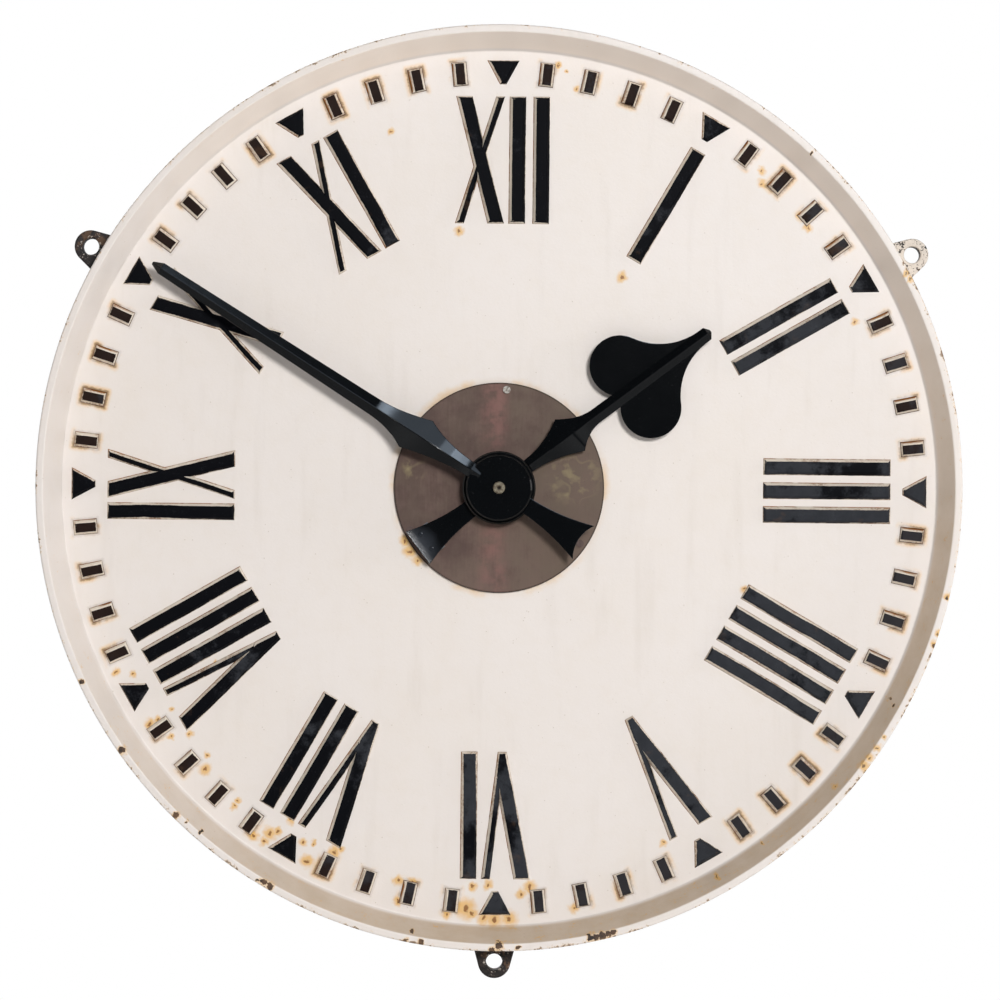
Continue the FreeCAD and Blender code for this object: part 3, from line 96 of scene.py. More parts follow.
LUG_DEPTH = 22
LUG_SINK = 5
LUG_ROUND = 1.6
BOLT_PAST = 5
LUG_FLANK = math.radians(15)
LUG_TURNS = [60, 180, 300]

# Sizes of the hands, in millimetres: a pair is a distance from the centre and the width there
MINUTE_ANGLE = math.radians(-57.6)
MINUTE_BACK = -47
MINUTE_HUB = 32.4
MINUTE_ROOT = (32.9, 15)
MINUTE_SHOULDER = (97, 39.5)
MINUTE_WAIST = (146, 18)
MINUTE_POINT = [(395, 12), (405, 3)]
MINUTE_SKEW = -0.36
MINUTE_TAIL_ROOT = (32.9, 16.4)
MINUTE_TAIL_END = (99, 39)
MINUTE_TAIL_HOLLOW = 6
HOUR_ANGLE = math.radians(52.9)
HOUR_BACK = -32
HOUR_HUB = 35.9
HOUR_ROOT = (36.4, 14)
HOUR_SHOULDER = (87, 42.5)
HOUR_WAIST = (118, 15)
HOUR_POINT = [(255, 14), (259, 3)]
HOUR_SKEW = 0.12
HOUR_TAIL_ROOT = (36.4, 17.6)
HOUR_TAIL_END = (99.5, 40)
LOBE_RADIUS = 30
LOBE_ASIDE = 25.7
LOBE_ALONG = 167
SPADE_TIP_HALF = 7
SPADE_HOLLOW_END = 250
SPADE_END = 255
HAND_EDGE = 3.2
HAND_RIDGE = 8
TAIL_THICKNESS = 5
FLARE_SHARE = 0.27
HAND_BEVEL = 0.45
HAND_SMOOTH = 12
CLIMB_START = 66
RIDGE_CLIMB = 4.2
EDGE_CLIMB = 5.8
BOSS_RIDGE_END = (22, 5)
BOSS_RIDGE_RISE = 2.8
BOSS_EDGE_RISE = 6.9
SKEW_REACH = 45
CURL_START = 55
CURL_END = HOUR_TAIL_END[0]
CURL_RISE = 2.0
CURL_CUTS = 8
RIVET_ALONG = 89
RIVET_ASIDE = 8.9
RIVET_SHANK = 1.6
RIVET_HEAD = 2.6
RIVET_HEIGHT = 1.3
RIVET_SINK = 0.6

# The taped coil, in millimetres and shares of a band
TAPE_BANDS = 9
TAPE_TUCK = 0.975
TAPE_STEP = 0.12
TAPE_CORNER = 4

# The photograph's frame, in its own pixels
PHOTO_SIZE = 1000
DIAL_CENTRE = (499.0, 487.75)
DIAL_ROLL = math.radians(0.6)
LIP_IN_PHOTO = 463.5
CAMERA_DISTANCE = 4.5
LIP_DISTANCE = CAMERA_DISTANCE + (RIM_FRONT + LIP_ROUND) * MM

# Rust on the face and chips in the rim: where the photograph shows them, and their sizes in millimetres
RUST_SPOTS = [
    (391, 131, 1.8), (459, 231, 2.4), (622, 277, 2.6), (855, 322, 2), (745, 590, 2), (576, 89, 1.5),
    (567, 72, 1.2), (558, 65, 1.6), (150, 724, 2.8), (158, 720, 2), (190, 734, 2), (171, 737, 1.6),
    (172, 709, 1.6), (205, 770, 3), (207, 755, 1.6), (234, 806, 2), (238, 800, 1.6), (254, 836, 2.6),
    (264, 841, 2.2), (270, 833, 3.4), (278, 832, 2.2), (291, 820, 2.2), (334, 852, 3), (341, 850, 1.6),
    (397, 901, 2.2), (412, 881, 2), (447, 914, 2.2), (466, 909, 5), (472, 913, 3), (473, 887, 2.2),
    (488, 885, 2.4), (494, 919, 4.4), (484, 918, 3.4), (509, 919, 4.2), (521, 893, 2.6), (530, 887, 3.2),
    (405, 541, 2.8), (410, 551, 3.4), (418, 560, 3), (762, 171, 2), (762, 183, 2.2), (801, 216, 2.6),
    (808, 228, 2.2), (744, 158, 2), (574, 908, 2.6), (398, 880, 2.6), (663, 843, 2), (307, 861, 3.2),
    (303, 842, 2.2), (116, 672, 2.2), (133, 674, 1.6), (314, 843, 1.6), (216, 663, 1.4),
]
RIM_CHIPS = [
    (81, 682, 2.4), (122, 750, 3.6), (176, 816, 3.2), (186, 821, 1.4), (201, 832, 1.8), (258, 881, 1.4),
    (263, 882, 3.6), (270, 886, 3.8), (813, 153, 1.8), (280, 863, 1.8), (406, 940, 2.4), (412, 932, 1.8),
    (421, 942, 2.4), (492, 949, 3), (499, 946, 3.6), (518, 948, 2), (590, 938, 3.2), (596, 937, 3.6),
    (602, 936, 3.6), (608, 934, 3.2), (613, 933, 2.6), (934, 645, 2), (947, 598, 2), (891, 699, 1.4),
    (894, 706, 1.4),
]
RIM_STAINS = [
    (864, 766, 4.6), (870, 758, 4), (877, 748, 3.4), (883, 737, 2.6), (947, 596, 3.6), (934, 644, 3),
    (938, 634, 2.8), (836, 787, 2.6), (718, 878, 2.6), (906, 274, 3), (910, 280, 2.6), (764, 845, 1.6),
]

# Where the paint and its wear begin and end on the dial, in millimetres as above
PLATE_STAIN = (112, 103)
BAR_HALO = (5.5, 0)
BAR_FOOT = (2.2, 0)
WALL_INNER = (431.8, 434.5)
WALL_OUTER = (447.5, 446)
WALL_LIT = (-100, 350)
LIP_SLOPE = (448.5, 454.5)
RIM_SIDE = (0, -20)
RIM_LOW = (250, -250)
RIM_FACE = (-28, -36)
BACK_FACE = (-13.5, -12.5)
BACK_REACH = (455.5, 453.5)
SLOPE = (-24.2, -22.2)
SLOPE_FOOT = (-22, -20.5)
MINUTE_TRACK = (396.2, 396.8)
TRIANGLE_HALF = (18.2, 17.8)
BLACK_EDGE = (23.2, 23.8)
BAR_BLACK_HALF = (4.2, 4.7)
LUG_FACE = (-17, -21.5)
LUG_RIGHT = (100, 300)
LUG_HOLE_EDGE = (11.8, 9.4)

# Where the patina, scuffs and tarnish begin and end on the other pieces, in millimetres
GREEN_SIDE = (-30, 70)
RED_BAND_LEFT = 5
RED_BAND_HALF = (19, 1)
RED_BAND_GAP = (26, 50)
SCUFFS = [((74, -23, 12), (34, 12)), ((-84, -23, 19), (16, 6))]
PLATE_RIM = (101.8, 103.3)
TAIL_WEAR_AND_HIGHLIGHT = (26, 8)
SCREW_TARNISH = (50, -20)
TURNING_CENTRE = (1.9, 1.1)

# The stage, in metres
FLOOR_LEVEL = -0.75
FLOOR_RADIUS = 3
FLOOR_FADE = (1.0, 2.0)
SKY_LIGHT = 0.17
SKY_GLOSS = 0.03
SKY_BEHIND = (0.05, 0.6)
SEEN_RAYS = ["Is Camera Ray", "Is Glossy Ray", "Is Transmission Ray"]

# The lamps: degrees to the right and up, distance and size in metres, and watts
LAMPS = {
    "key": (12, 12, 6.0, 1.12, 237),
    "side": (82, 6, 3.5, 1.4, 34),
    "sheen": (24.2, 32.9, 3.0, 2.2, 37),
    "glint": (21, 53, 3.0, 0.9, 28),
    "fade": (31, 40, 3.0, 0.75, 8),
    "back": (205, 30, 3.5, 2.0, 60),
}
GLOSS_LAMPS = ["sheen", "glint", "fade"]
GLOSS_LIGHT = (0.71, 0.84, 1.0)


# Modelling

def work_on(piece):
    """Make one piece the only one that the operators act on."""
    if bpy.context.mode != "OBJECT":
        bpy.ops.object.mode_set(mode="OBJECT")
    bpy.ops.object.select_all(action="DESELECT")
    piece.select_set(True)
    bpy.context.view_layer.objects.active = piece


def edit(piece):
    work_on(piece)
    bpy.ops.object.mode_set(mode="EDIT")
    bpy.ops.mesh.select_all(action="SELECT")


def choose(piece, kind, wanted):
    """Select, in edit mode, the vertices, edges or faces that pass a test."""
    bpy.ops.mesh.select_mode(type=kind)
    bpy.ops.mesh.select_all(action="DESELECT")
    shape = bmesh.from_edit_mesh(piece.data)
    for item in {"VERT": shape.verts, "EDGE": shape.edges, "FACE": shape.faces}[kind]:
        if wanted(item):
            item.select_set(True)
    shape.select_flush_mode()
    bmesh.update_edit_mesh(piece.data)


def close_up(piece):
    """Merge what meets and turn every face outwards."""
    edit(piece)
    bpy.ops.mesh.remove_doubles(threshold=MERGE)
    bpy.ops.mesh.delete_loose()
    bpy.ops.mesh.select_all(action="SELECT")
    bpy.ops.mesh.normals_make_consistent(inside=False)
    bpy.ops.object.mode_set(mode="OBJECT")


def drawn(name, points, filled=True):
    """A closed outline through points in millimetres."""
    if bpy.context.mode != "OBJECT":
        bpy.ops.object.mode_set(mode="OBJECT")
    bpy.ops.object.select_all(action="DESELECT")
    bpy.ops.mesh.primitive_circle_add(vertices=len(points), fill_type="NGON" if filled else "NOTHING")
    piece = bpy.context.object
    piece.name = name
    for vertex, point in zip(piece.data.vertices, points):
        vertex.co = Vector(point) * MM
    return piece


def arc(centre, radius, start, end, steps=12):
    """Points along an arc, with its angles in degrees from the x axis."""
    points = []
    for step in range(steps + 1):
        angle = math.radians(start + (end - start) * step / steps)
        points.append((centre[0] + radius * math.cos(angle), centre[1] + radius * math.sin(angle)))
    return points


def circle(centre, radius, count):
    """Points round a full circle."""
    return arc(centre, radius, 0, 360 - 360 / count, count - 1)


def rounded(corners, steps=5):
    """A closed outline of corners, each given with the radius that rounds it."""
    points = []
    for index, (x, y, radius) in enumerate(corners):
        corner = Vector((x, y))
        if radius == 0:
            points.append((x, y))
            continue
        before = (Vector(corners[index - 1][:2]) - corner).normalized()
        after = (Vector(corners[(index + 1) % len(corners)][:2]) - corner).normalized()
        half = before.angle(after) / 2
        middle = corner + (before + after).normalized() * radius / math.sin(half)
        start = corner + before * radius / math.tan(half) - middle
        end = corner + after * radius / math.tan(half) - middle
        first = math.degrees(math.atan2(start.y, start.x))
        sweep = (math.degrees(math.atan2(end.y, end.x)) - first + 180) % 360 - 180
        points += arc(middle, radius, first, first + sweep, steps)
    return points


def turned(name, corners, steps, x=0, z=0):
    """A solid turned from a closed profile of radii and depths, about an axis through x and z."""
    profile = rounded(corners)
    piece = drawn(name, [(radius, depth, 0) for radius, depth in profile], filled=False)
    edit(piece)
    bpy.ops.mesh.spin(steps=steps, angle=2 * math.pi, center=(0, 0, 0), axis=(0, 1, 0))
    close_up(piece)
    piece.data.transform(Matrix.Translation((x * MM, 0, z * MM)))
    return piece


def plate(name, outline, back, thickness):
    """A flat plate with an outline of points across and along."""
    piece = drawn(name, [(x, back, z) for x, z in outline])
    edit(piece)
    bpy.ops.mesh.extrude_region_move(TRANSFORM_OT_translate={"value": (0, -thickness * MM, 0)})
    close_up(piece)
    return piece


def block(name, low, high):
    """A rectangular block between two corners."""
    outline = [(low[0], low[2]), (high[0], low[2]), (high[0], high[2]), (low[0], high[2])]
    return plate(name, outline, high[1], high[1] - low[1])


def ridged(name, stations, back):
    """A stretch of a hand that rises to a ridge, through widths at distances from the centre."""
    along, width = stations[0]
    half = width / 2
    edge, ridge = back - HAND_EDGE, back - HAND_RIDGE
    section = [(-half, back), (half, back), (half, edge), (0, ridge), (-half, edge)]
    piece = drawn(name, [(x, y, along) for x, y in section])
    edit(piece)
    for (near, old), (far, new) in zip(stations, stations[1:]):
        bpy.ops.mesh.extrude_region_move(TRANSFORM_OT_translate={"value": (0, 0, (far - near) * MM)})
        bpy.ops.transform.resize(value=(new / old, 1, 1), center_override=(0, 0, 0))
    close_up(piece)
    return piece


def flare(near, far, steps=10):
    """Distances and widths between two pairs of them, with sides that curve in between."""
    (start, narrow), (end, wide) = near, far
    middle = narrow + (wide - narrow) * FLARE_SHARE
    stations = []
    for step in range(steps + 1):
        share = step / steps
        width = narrow * (1 - share) * (1 - 2 * share)
        width += 4 * middle * share * (1 - share)
        width += wide * share * (2 * share - 1)
        stations.append((start + (end - start) * share, width))
    return stations


def change(piece, kind, **settings):
    """Give a piece a modifier and apply it."""
    work_on(piece)
    modifier = piece.modifiers.new(kind.lower(), kind)
    for name, value in settings.items():
        setattr(modifier, name, value)
    bpy.ops.object.modifier_apply(modifier=modifier.name)


def bevelled(piece, width, segments=2, angle=25):
    change(piece, "BEVEL", width=width * MM, segments=segments, limit_method="ANGLE",
           angle_limit=math.radians(angle), harden_normals=True)
    return piece


def joined(name, pieces):
    """Make one piece of several."""
    work_on(pieces[0])
    for piece in pieces[1:]:
        piece.select_set(True)
    if len(pieces) > 1:
        bpy.ops.object.join()
    pieces[0].name = name
    pieces[0].data.name = name
    return pieces[0]


def spread(piece, places):
    """Copies of a piece under the matrices given, each with its own mesh."""
    copies = []
    for place in places:
        copy = bpy.data.objects.new(piece.name, piece.data.copy())
        bpy.context.scene.collection.objects.link(copy)
        copy.data.transform(place)
        copies.append(copy)
    bpy.data.objects.remove(piece)
    return copies


def about_axis(degrees):
    """A turn about the clock's axis, clockwise as the dial is read."""
    return Matrix.Rotation(math.radians(degrees), 4, "Y")


def copy_of(node, name):
    """A merged copy of a CAD node's mesh, with its custom normals cleared."""
    piece = bpy.data.objects.new(name, frame["nodes"][node].data.copy())
    bpy.context.scene.collection.objects.link(piece)
    edit(piece)
    bpy.ops.mesh.customdata_custom_splitnormals_clear()
    bpy.ops.mesh.remove_doubles(threshold=MERGE)
    bpy.ops.object.mode_set(mode="OBJECT")
    return piece


def finished(piece, body, finish, nodes, smooth=30):
    """Hand a piece over: its body, its material and the nodes that it stands for."""
    work_on(piece)
    bpy.ops.object.shade_smooth_by_angle(angle=math.radians(smooth))
    change(piece, "WEIGHTED_NORMAL", keep_sharp=True)
    piece.data.materials.clear()
    piece.data.materials.append(finish)
    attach(piece, body)
    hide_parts(*nodes)
    return piece


# Shader maths

class Shade:
    """A number on a surface: Python's operators on it add Math nodes."""

    def __init__(self, finish, socket):
        self.finish = finish
        self.socket = socket

    def math(self, operation, first, second=0.0):
        return self.finish.node("ShaderNodeMath", {"operation": operation}, {0: first, 1: second})

    def __add__(self, other):
        return self.math("ADD", self, other)

    __radd__ = __add__

    def __sub__(self, other):
        return self.math("SUBTRACT", self, other)

    def __rsub__(self, other):
        return self.math("SUBTRACT", other, self)

    def __mul__(self, other):
        return self.math("MULTIPLY", self, other)

    __rmul__ = __mul__

    def __truediv__(self, other):
        return self.math("DIVIDE", self, other)

    def __pow__(self, other):
        return self.math("POWER", self, other)

    def __or__(self, other):
        return self.math("MAXIMUM", self, other)

    def __and__(self, other):
        return self.math("MINIMUM", self, other)

    def __abs__(self):
        return self.math("ABSOLUTE", self)

    def off_whole(self):
        """How far a number is past the nearest whole one."""
        return self - self.math("ROUND", self)


class Finish:
    """A material, or another tree of shader nodes."""

    def __init__(self, name, tree=None):
        if tree is None:
            self.material = bpy.data.materials.new(name)
            self.material.use_nodes = True
            tree = self.material.node_tree
        self.tree = tree

    def node(self, kind, settings=None, inputs=None, output=0):
        """Add a node: its settings first, then the values or links of its sockets."""
        made = self.tree.nodes.new(kind)
        for name, value in (settings or {}).items():
            setattr(made, name, value)
        for socket, value in (inputs or {}).items():
            if isinstance(value, Shade):
                self.tree.links.new(value.socket, made.inputs[socket])
            else:
                made.inputs[socket].default_value = value
        return Shade(self, made.outputs[output])

    def place(self):
        """Where a point lies on the clock."""
        return self.node("ShaderNodeTexCoord", output="Object")

    def axes(self, place):
        """The three distances of a place, in metres."""
        return [self.node("ShaderNodeSeparateXYZ", None, {0: place}, axis) for axis in range(3)]

    def noise(self, place, scale, detail=4.0, roughness=0.55):
        settings = {"Vector": place, "Scale": scale, "Detail": detail, "Roughness": roughness}
        return self.node("ShaderNodeTexNoise", None, settings)

    def cells(self, place, scale, output="Distance"):
        return self.node("ShaderNodeTexVoronoi", None, {"Vector": place, "Scale": scale}, output)

    def step(self, value, low, high):
        """From 0 at low to 1 at high, easing in and out."""
        limits = {"Value": value, "From Min": low, "From Max": high}
        return self.node("ShaderNodeMapRange", {"interpolation_type": "SMOOTHSTEP"}, limits)

    def between(self, length, limits):
        """From 0 to 1 as a length in metres goes between two limits in millimetres."""
        return self.step(length, limits[0] * MM, limits[1] * MM)

    def mix(self, share, first, second):
        """The first colour where share is 0 and the second where it is 1."""
        return self.node("ShaderNodeMix", {"data_type": "RGBA"}, {0: share, 6: first, 7: second}, 2)

    def vector(self, operation, *inputs, output=0):
        return self.node("ShaderNodeVectorMath", {"operation": operation}, dict(enumerate(inputs)), output)

    def stretched(self, place, x, y, z):
        return self.vector("MULTIPLY", place, (x, y, z))

    def flattened(self, place):
        """A place brought to the mounting plane."""
        return self.stretched(place, 1, 0, 1)

    def drift(self, place, scale, detail):
        """Noise in three directions, as a vector about 0.5."""
        settings = {"Vector": place, "Scale": scale, "Detail": detail}
        return self.node("ShaderNodeTexNoise", None, settings, "Color")

    def wandered(self, place, scale, reach):
        """A place moved about by noise, so that what is measured from it has ragged edges."""
        level = self.vector("SUBTRACT", self.drift(place, scale, 4.0), (0.5, 0.5, 0.5))
        return self.vector("MULTIPLY_ADD", level, (reach, reach, reach), place)

    def distance(self, place, x, y, z):
        return self.vector("DISTANCE", place, (x, y, z), output="Value")

    def bump(self, height, depth, strength=1.0):
        """Normals of a surface with a relief of height times depth."""
        settings = {"Height": height, "Distance": depth, "Strength": strength}
        return self.node("ShaderNodeBump", None, settings)

    def surface(self, **inputs):
        """Set the sockets of the surface shader."""
        shader = self.tree.nodes["Principled BSDF"]
        for name, value in inputs.items():
            socket = shader.inputs[name.replace("_", " ")]
            if isinstance(value, Shade):
                self.tree.links.new(value.socket, socket)
            else:
                socket.default_value = value
        return self.material


# Colours, as linear values
WHITE = (0.81, 0.745, 0.70, 1)
AGED_WHITE = (0.76, 0.675, 0.585, 1)
WALL_PAINTED_LIGHT = (0.93, 0.82, 0.725, 1)
CREAM = (0.76, 0.65, 0.47, 1)
SPECK_AND_SHADE = (0.40, 0.315, 0.215, 1)
WALL_BROWN = (0.42, 0.25, 0.07, 1)
BROWN = (0.145, 0.078, 0.040, 1)
RUST = (0.24, 0.085, 0.014, 1)
RUST_STAIN = (0.76, 0.43, 0.09, 1)
DARK_RUST = (0.062, 0.026, 0.013, 1)
BARE_IRON = (0.030, 0.021, 0.018, 1)
BLACK_IRON = (0.011, 0.009, 0.008, 1)
BLACK = (0.0032, 0.0035, 0.005, 1)
SLATE_FADE_AND_SHEEN = (0.045, 0.048, 0.056, 1)
BROWN_BLACK = (0.030, 0.017, 0.013, 1)
EDGE_RUST = (0.36, 0.15, 0.045, 1)
GLOSS_BLACK = (0.0028, 0.0034, 0.0042, 1)
SCRATCH = (0.035, 0.036, 0.038, 1)
WORN_GREY_AND_HIGHLIGHT = (0.075, 0.085, 0.105, 1)
PLATE_DARK = (0.096, 0.062, 0.053, 1)
PLATE_LIGHT = (0.152, 0.103, 0.085, 1)
PLATE_GREEN = (0.136, 0.102, 0.077, 1)
PLATE_RED = (0.235, 0.120, 0.104, 1)
PLATE_SCUFF = (0.29, 0.235, 0.13, 1)
PLATE_EDGE = (0.026, 0.018, 0.014, 1)
SCREW_STEEL = (0.40, 0.37, 0.33, 1)
SCREW_DULL = (0.14, 0.11, 0.09, 1)
ARBOR_BRASS = (0.19, 0.165, 0.115, 1)
ARBOR_DULL = (0.085, 0.06, 0.038, 1)
FLOOR_GREY = (0.86, 0.86, 0.86, 1)
PURE_WHITE = (1, 1, 1, 1)

# Metals by their slots: name, bright and dull colour, roughness, metallic
METALS = {
    "bright_steel": ("turned_steel", (0.56, 0.55, 0.53, 1), (0.30, 0.28, 0.26, 1), 0.28, 1.0),
    "brass": ("brushed_brass", (0.72, 0.50, 0.20, 1), (0.40, 0.26, 0.11, 1), 0.30, 1.0),
    "stator_iron": ("blued_iron", (0.12, 0.12, 0.13, 1), (0.07, 0.055, 0.05, 1), 0.42, 1.0),
    "magnet": ("magnet_grey", (0.10, 0.10, 0.11, 1), (0.06, 0.06, 0.06, 1), 0.5, 1.0),
    "lead_weight": ("lead_grey", (0.16, 0.16, 0.165, 1), (0.09, 0.09, 0.09, 1), 0.6, 0.6),
}

# Mouldings, tape and sleeves by their slots: main and other colour, roughness, grains to the metre
MOULDINGS = {
    "black_moulding": ((0.014, 0.011, 0.009, 1), (0.028, 0.02, 0.015, 1), 0.35, 900),
    "coil_tape": ((0.20, 0.085, 0.03, 1), (0.31, 0.16, 0.065, 1), 0.5, 1200),
    "lead_sleeve": ((0.22, 0.03, 0.018, 1), (0.13, 0.022, 0.015, 1), 0.5, 1500),
}


def on_dial(px, py, depth):
    """The place that a pixel of the photograph shows at a depth of the dial, in metres from its axis."""
    from_camera = CAMERA_DISTANCE + depth * MM
    scale = LIP_OUTER * MM / LIP_IN_PHOTO * from_camera / LIP_DISTANCE
    right, up = (px - DIAL_CENTRE[0]) * scale, (DIAL_CENTRE[1] - py) * scale
    cosine, sine = math.cos(DIAL_ROLL), math.sin(DIAL_ROLL)
    return right * cosine - up * sine, right * sine + up * cosine


def hypotenuse(first, second):
    """The length of two distances at a right angle."""
    return (first * first + second * second) ** 0.5


def minute_at(x, z):
    """The minute of the dial in whose direction a place lies."""
    return x.math("ARCTAN2", x, z) / MINUTE_STEP


def least(values):
    """The smallest of several numbers."""
    smallest = values[0]
    for value in values[1:]:
        smallest = smallest & value
    return smallest


def nearest(finish, place, spots, depth):
    """How many of its own sizes away the nearest spot of the photograph lies."""
    away = []
    for px, py, across in spots:
        x, z = on_dial(px, py, depth)
        away.append(finish.distance(place, x, 0, z) / (across * MM))
    return least(away)


def white_paint(finish, place):
    """Off-white paint with its tone, specks and faint runs."""
    tone = finish.step(finish.noise(place, 7, 5), 0.35, 0.75)
    mottle = finish.step(finish.noise(place, 48, 5, 0.65), 0.42, 0.70)
    colour = finish.mix(tone * 0.24 + mottle * 0.16, WHITE, AGED_WHITE)
    runs = finish.step(finish.noise(finish.stretched(place, 45, 45, 6), 1, 4), 0.52, 0.78)
    colour = finish.mix(runs * 0.10, colour, SPECK_AND_SHADE)
    for scale, low, high, strength in [(170, 0.56, 0.63, 0.55), (420, 0.50, 0.60, 0.4)]:
        specks = finish.step(finish.cells(place, scale), 0.12, 0.05)
        some = finish.step(finish.noise(place, scale / 3, 2), low, high)
        colour = finish.mix(specks * some * strength, colour, SPECK_AND_SHADE)
    return colour


def dish_finish():
    """White paint on the dial, with painted light on the wall's upper and right side and browner paint
    lower down it, rusting at spots and chipped along the rim.
    """
    finish = Finish("dial_white")
    place = finish.place()
    x, y, z = finish.axes(place)
    radius = hypotenuse(x, z)
    rough = finish.noise(place, 60, 6, 0.7)
    fine = finish.noise(place, 420, 3)
    patchy = finish.step(finish.noise(place, 27, 3), 0.45, 0.63)
    ragged = finish.flattened(finish.wandered(place, 150, 0.009))
    colour = white_paint(finish, place)

    # Rust that has run from the centre plate and from the feet of the minute bars, and a brown line round
    # each bar's foot that is partly rust and partly painted shade in the crease
    round_plate = finish.between(radius + (rough - 0.5) * 0.012, PLATE_STAIN)
    colour = finish.mix(round_plate * (0.08 + 0.42 * patchy), colour, RUST_STAIN)
    minute = minute_at(x, z)
    across = abs(minute.off_whole()) * radius * MINUTE_STEP
    off_hour = finish.step(abs((minute / MINUTES_TO_HOUR).off_whole()), 0.09, 0.11)
    aside = (across - BAR_HALF * MM) | 0
    along = (abs(radius - BAR_MIDDLE * MM) - BAR_REACH * MM) | 0
    beside = hypotenuse(aside, along)
    halo = finish.between(beside + (fine - 0.5) * 0.002, BAR_HALO) * patchy * off_hour
    foot = finish.between(beside + (fine - 0.5) * 0.003, BAR_FOOT) * (0.15 + 0.6 * patchy) * off_hour
    colour = finish.mix(halo * 0.7, colour, RUST_STAIN)
    colour = finish.mix(foot, colour, BROWN)

    spot = nearest(finish, ragged, RUST_SPOTS, FACE_FRONT)
    colour = finish.mix(finish.step(spot, 2.9, 0.8) * 0.8, colour, RUST_STAIN)
    colour = finish.mix(finish.step(spot, 0.8, 0.35) * 0.9, colour, RUST)

    # The wall inside the rim: painted light on its upper and right side, browner towards the bottom and
    # right, and streaked
    wall = finish.between(radius, WALL_INNER) * finish.between(radius, WALL_OUTER)
    # Painted light: the upper and right wall gets a brighter colour than the face's paint
    colour = finish.mix(wall * finish.between(x + 1.2 * z, WALL_LIT), colour, WALL_PAINTED_LIGHT)
    # Darker and browner towards the bottom and right of the wall
    down_right = (0.4 * x - 0.88 * z) / (WALL_FOOT * MM)
    lower_right_brown = wall * finish.step(down_right, -0.35, 0.95) * (0.34 + 0.32 * rough)
    colour = finish.mix(lower_right_brown, colour, WALL_BROWN)
    streaks = finish.step(rough * 0.6 + fine * 0.4 + down_right * 0.03, 0.60, 0.66)
    colour = finish.mix(wall * streaks * 0.5, colour, RUST_STAIN)

    # The rim: flaking along the lip, stained in places and chipped to the iron
    lip = finish.between(radius, LIP_SLOPE) * finish.between(y, RIM_SIDE)
    low_down = finish.between(z - 0.5 * x, RIM_LOW)
    flaking = rough * 0.6 + fine * 0.4 + lip * 0.10 + low_down * 0.025
    chipped = nearest(finish, ragged, RIM_CHIPS, RIM_FRONT) + (fine - 0.5) * 0.8
    front = finish.between(y, RIM_FACE)
    colour = finish.mix(finish.step(flaking, 0.61, 0.68) * lip * 0.5, colour, RUST_STAIN)
    colour = finish.mix(finish.step(chipped, 1.7, 1.0) * front * 0.55, colour, RUST_STAIN)
    stained = nearest(finish, ragged, RIM_STAINS, RIM_FRONT)
    colour = finish.mix(finish.step(stained, 1.7, 0.5) * 0.8, colour, RUST_STAIN)
    colour = finish.mix(finish.step(stained, 0.5, 0.25) * 0.75, colour, DARK_RUST)
    chip = (finish.step(flaking, 0.665, 0.685) * lip) | (finish.step(chipped, 1.05, 0.92) * front)
    colour = finish.mix(chip, colour, finish.mix(finish.step(rough, 0.4, 0.6), BARE_IRON, BROWN))

    behind = finish.between(y, BACK_FACE) * finish.between(radius, BACK_REACH)
    colour = finish.mix(behind, colour, iron_colour(finish, place, rough, fine))
    height = fine * 0.4 + rough * 0.6 - chip * 0.5
    return finish.surface(Base_Color=colour, Roughness=0.42 + 0.25 * (chip | behind), IOR=1.45,
                          Specular_IOR_Level=0.35, Normal=finish.bump(height, 0.0006, 0.35))


def iron_colour(finish, place, rough, fine):
    """Bare iron, brown all over and rusting in blooms."""
    bloom = finish.step(finish.noise(place, 7, 5, 0.6), 0.42, 0.66)
    colour = finish.mix(finish.step(rough, 0.38, 0.66), BARE_IRON, DARK_RUST)
    colour = finish.mix(bloom * 0.5, colour, BROWN)
    speckled = finish.step(fine * 0.6 + rough * 0.4, 0.54, 0.66)
    return finish.mix(speckled * (0.15 + 0.5 * bloom), colour, RUST)


def iron_finish():
    """Rough iron on the back of the dial."""
    finish = Finish("rusty_iron")
    place = finish.place()
    rough = finish.noise(place, 60, 6, 0.7)
    fine = finish.noise(place, 420, 3)
    colour = iron_colour(finish, place, rough, fine)
    return finish.surface(Base_Color=colour, Roughness=0.72, Specular_IOR_Level=0.3,
                          Normal=finish.bump(rough * 0.6 + fine * 0.4, 0.0012, 0.5))


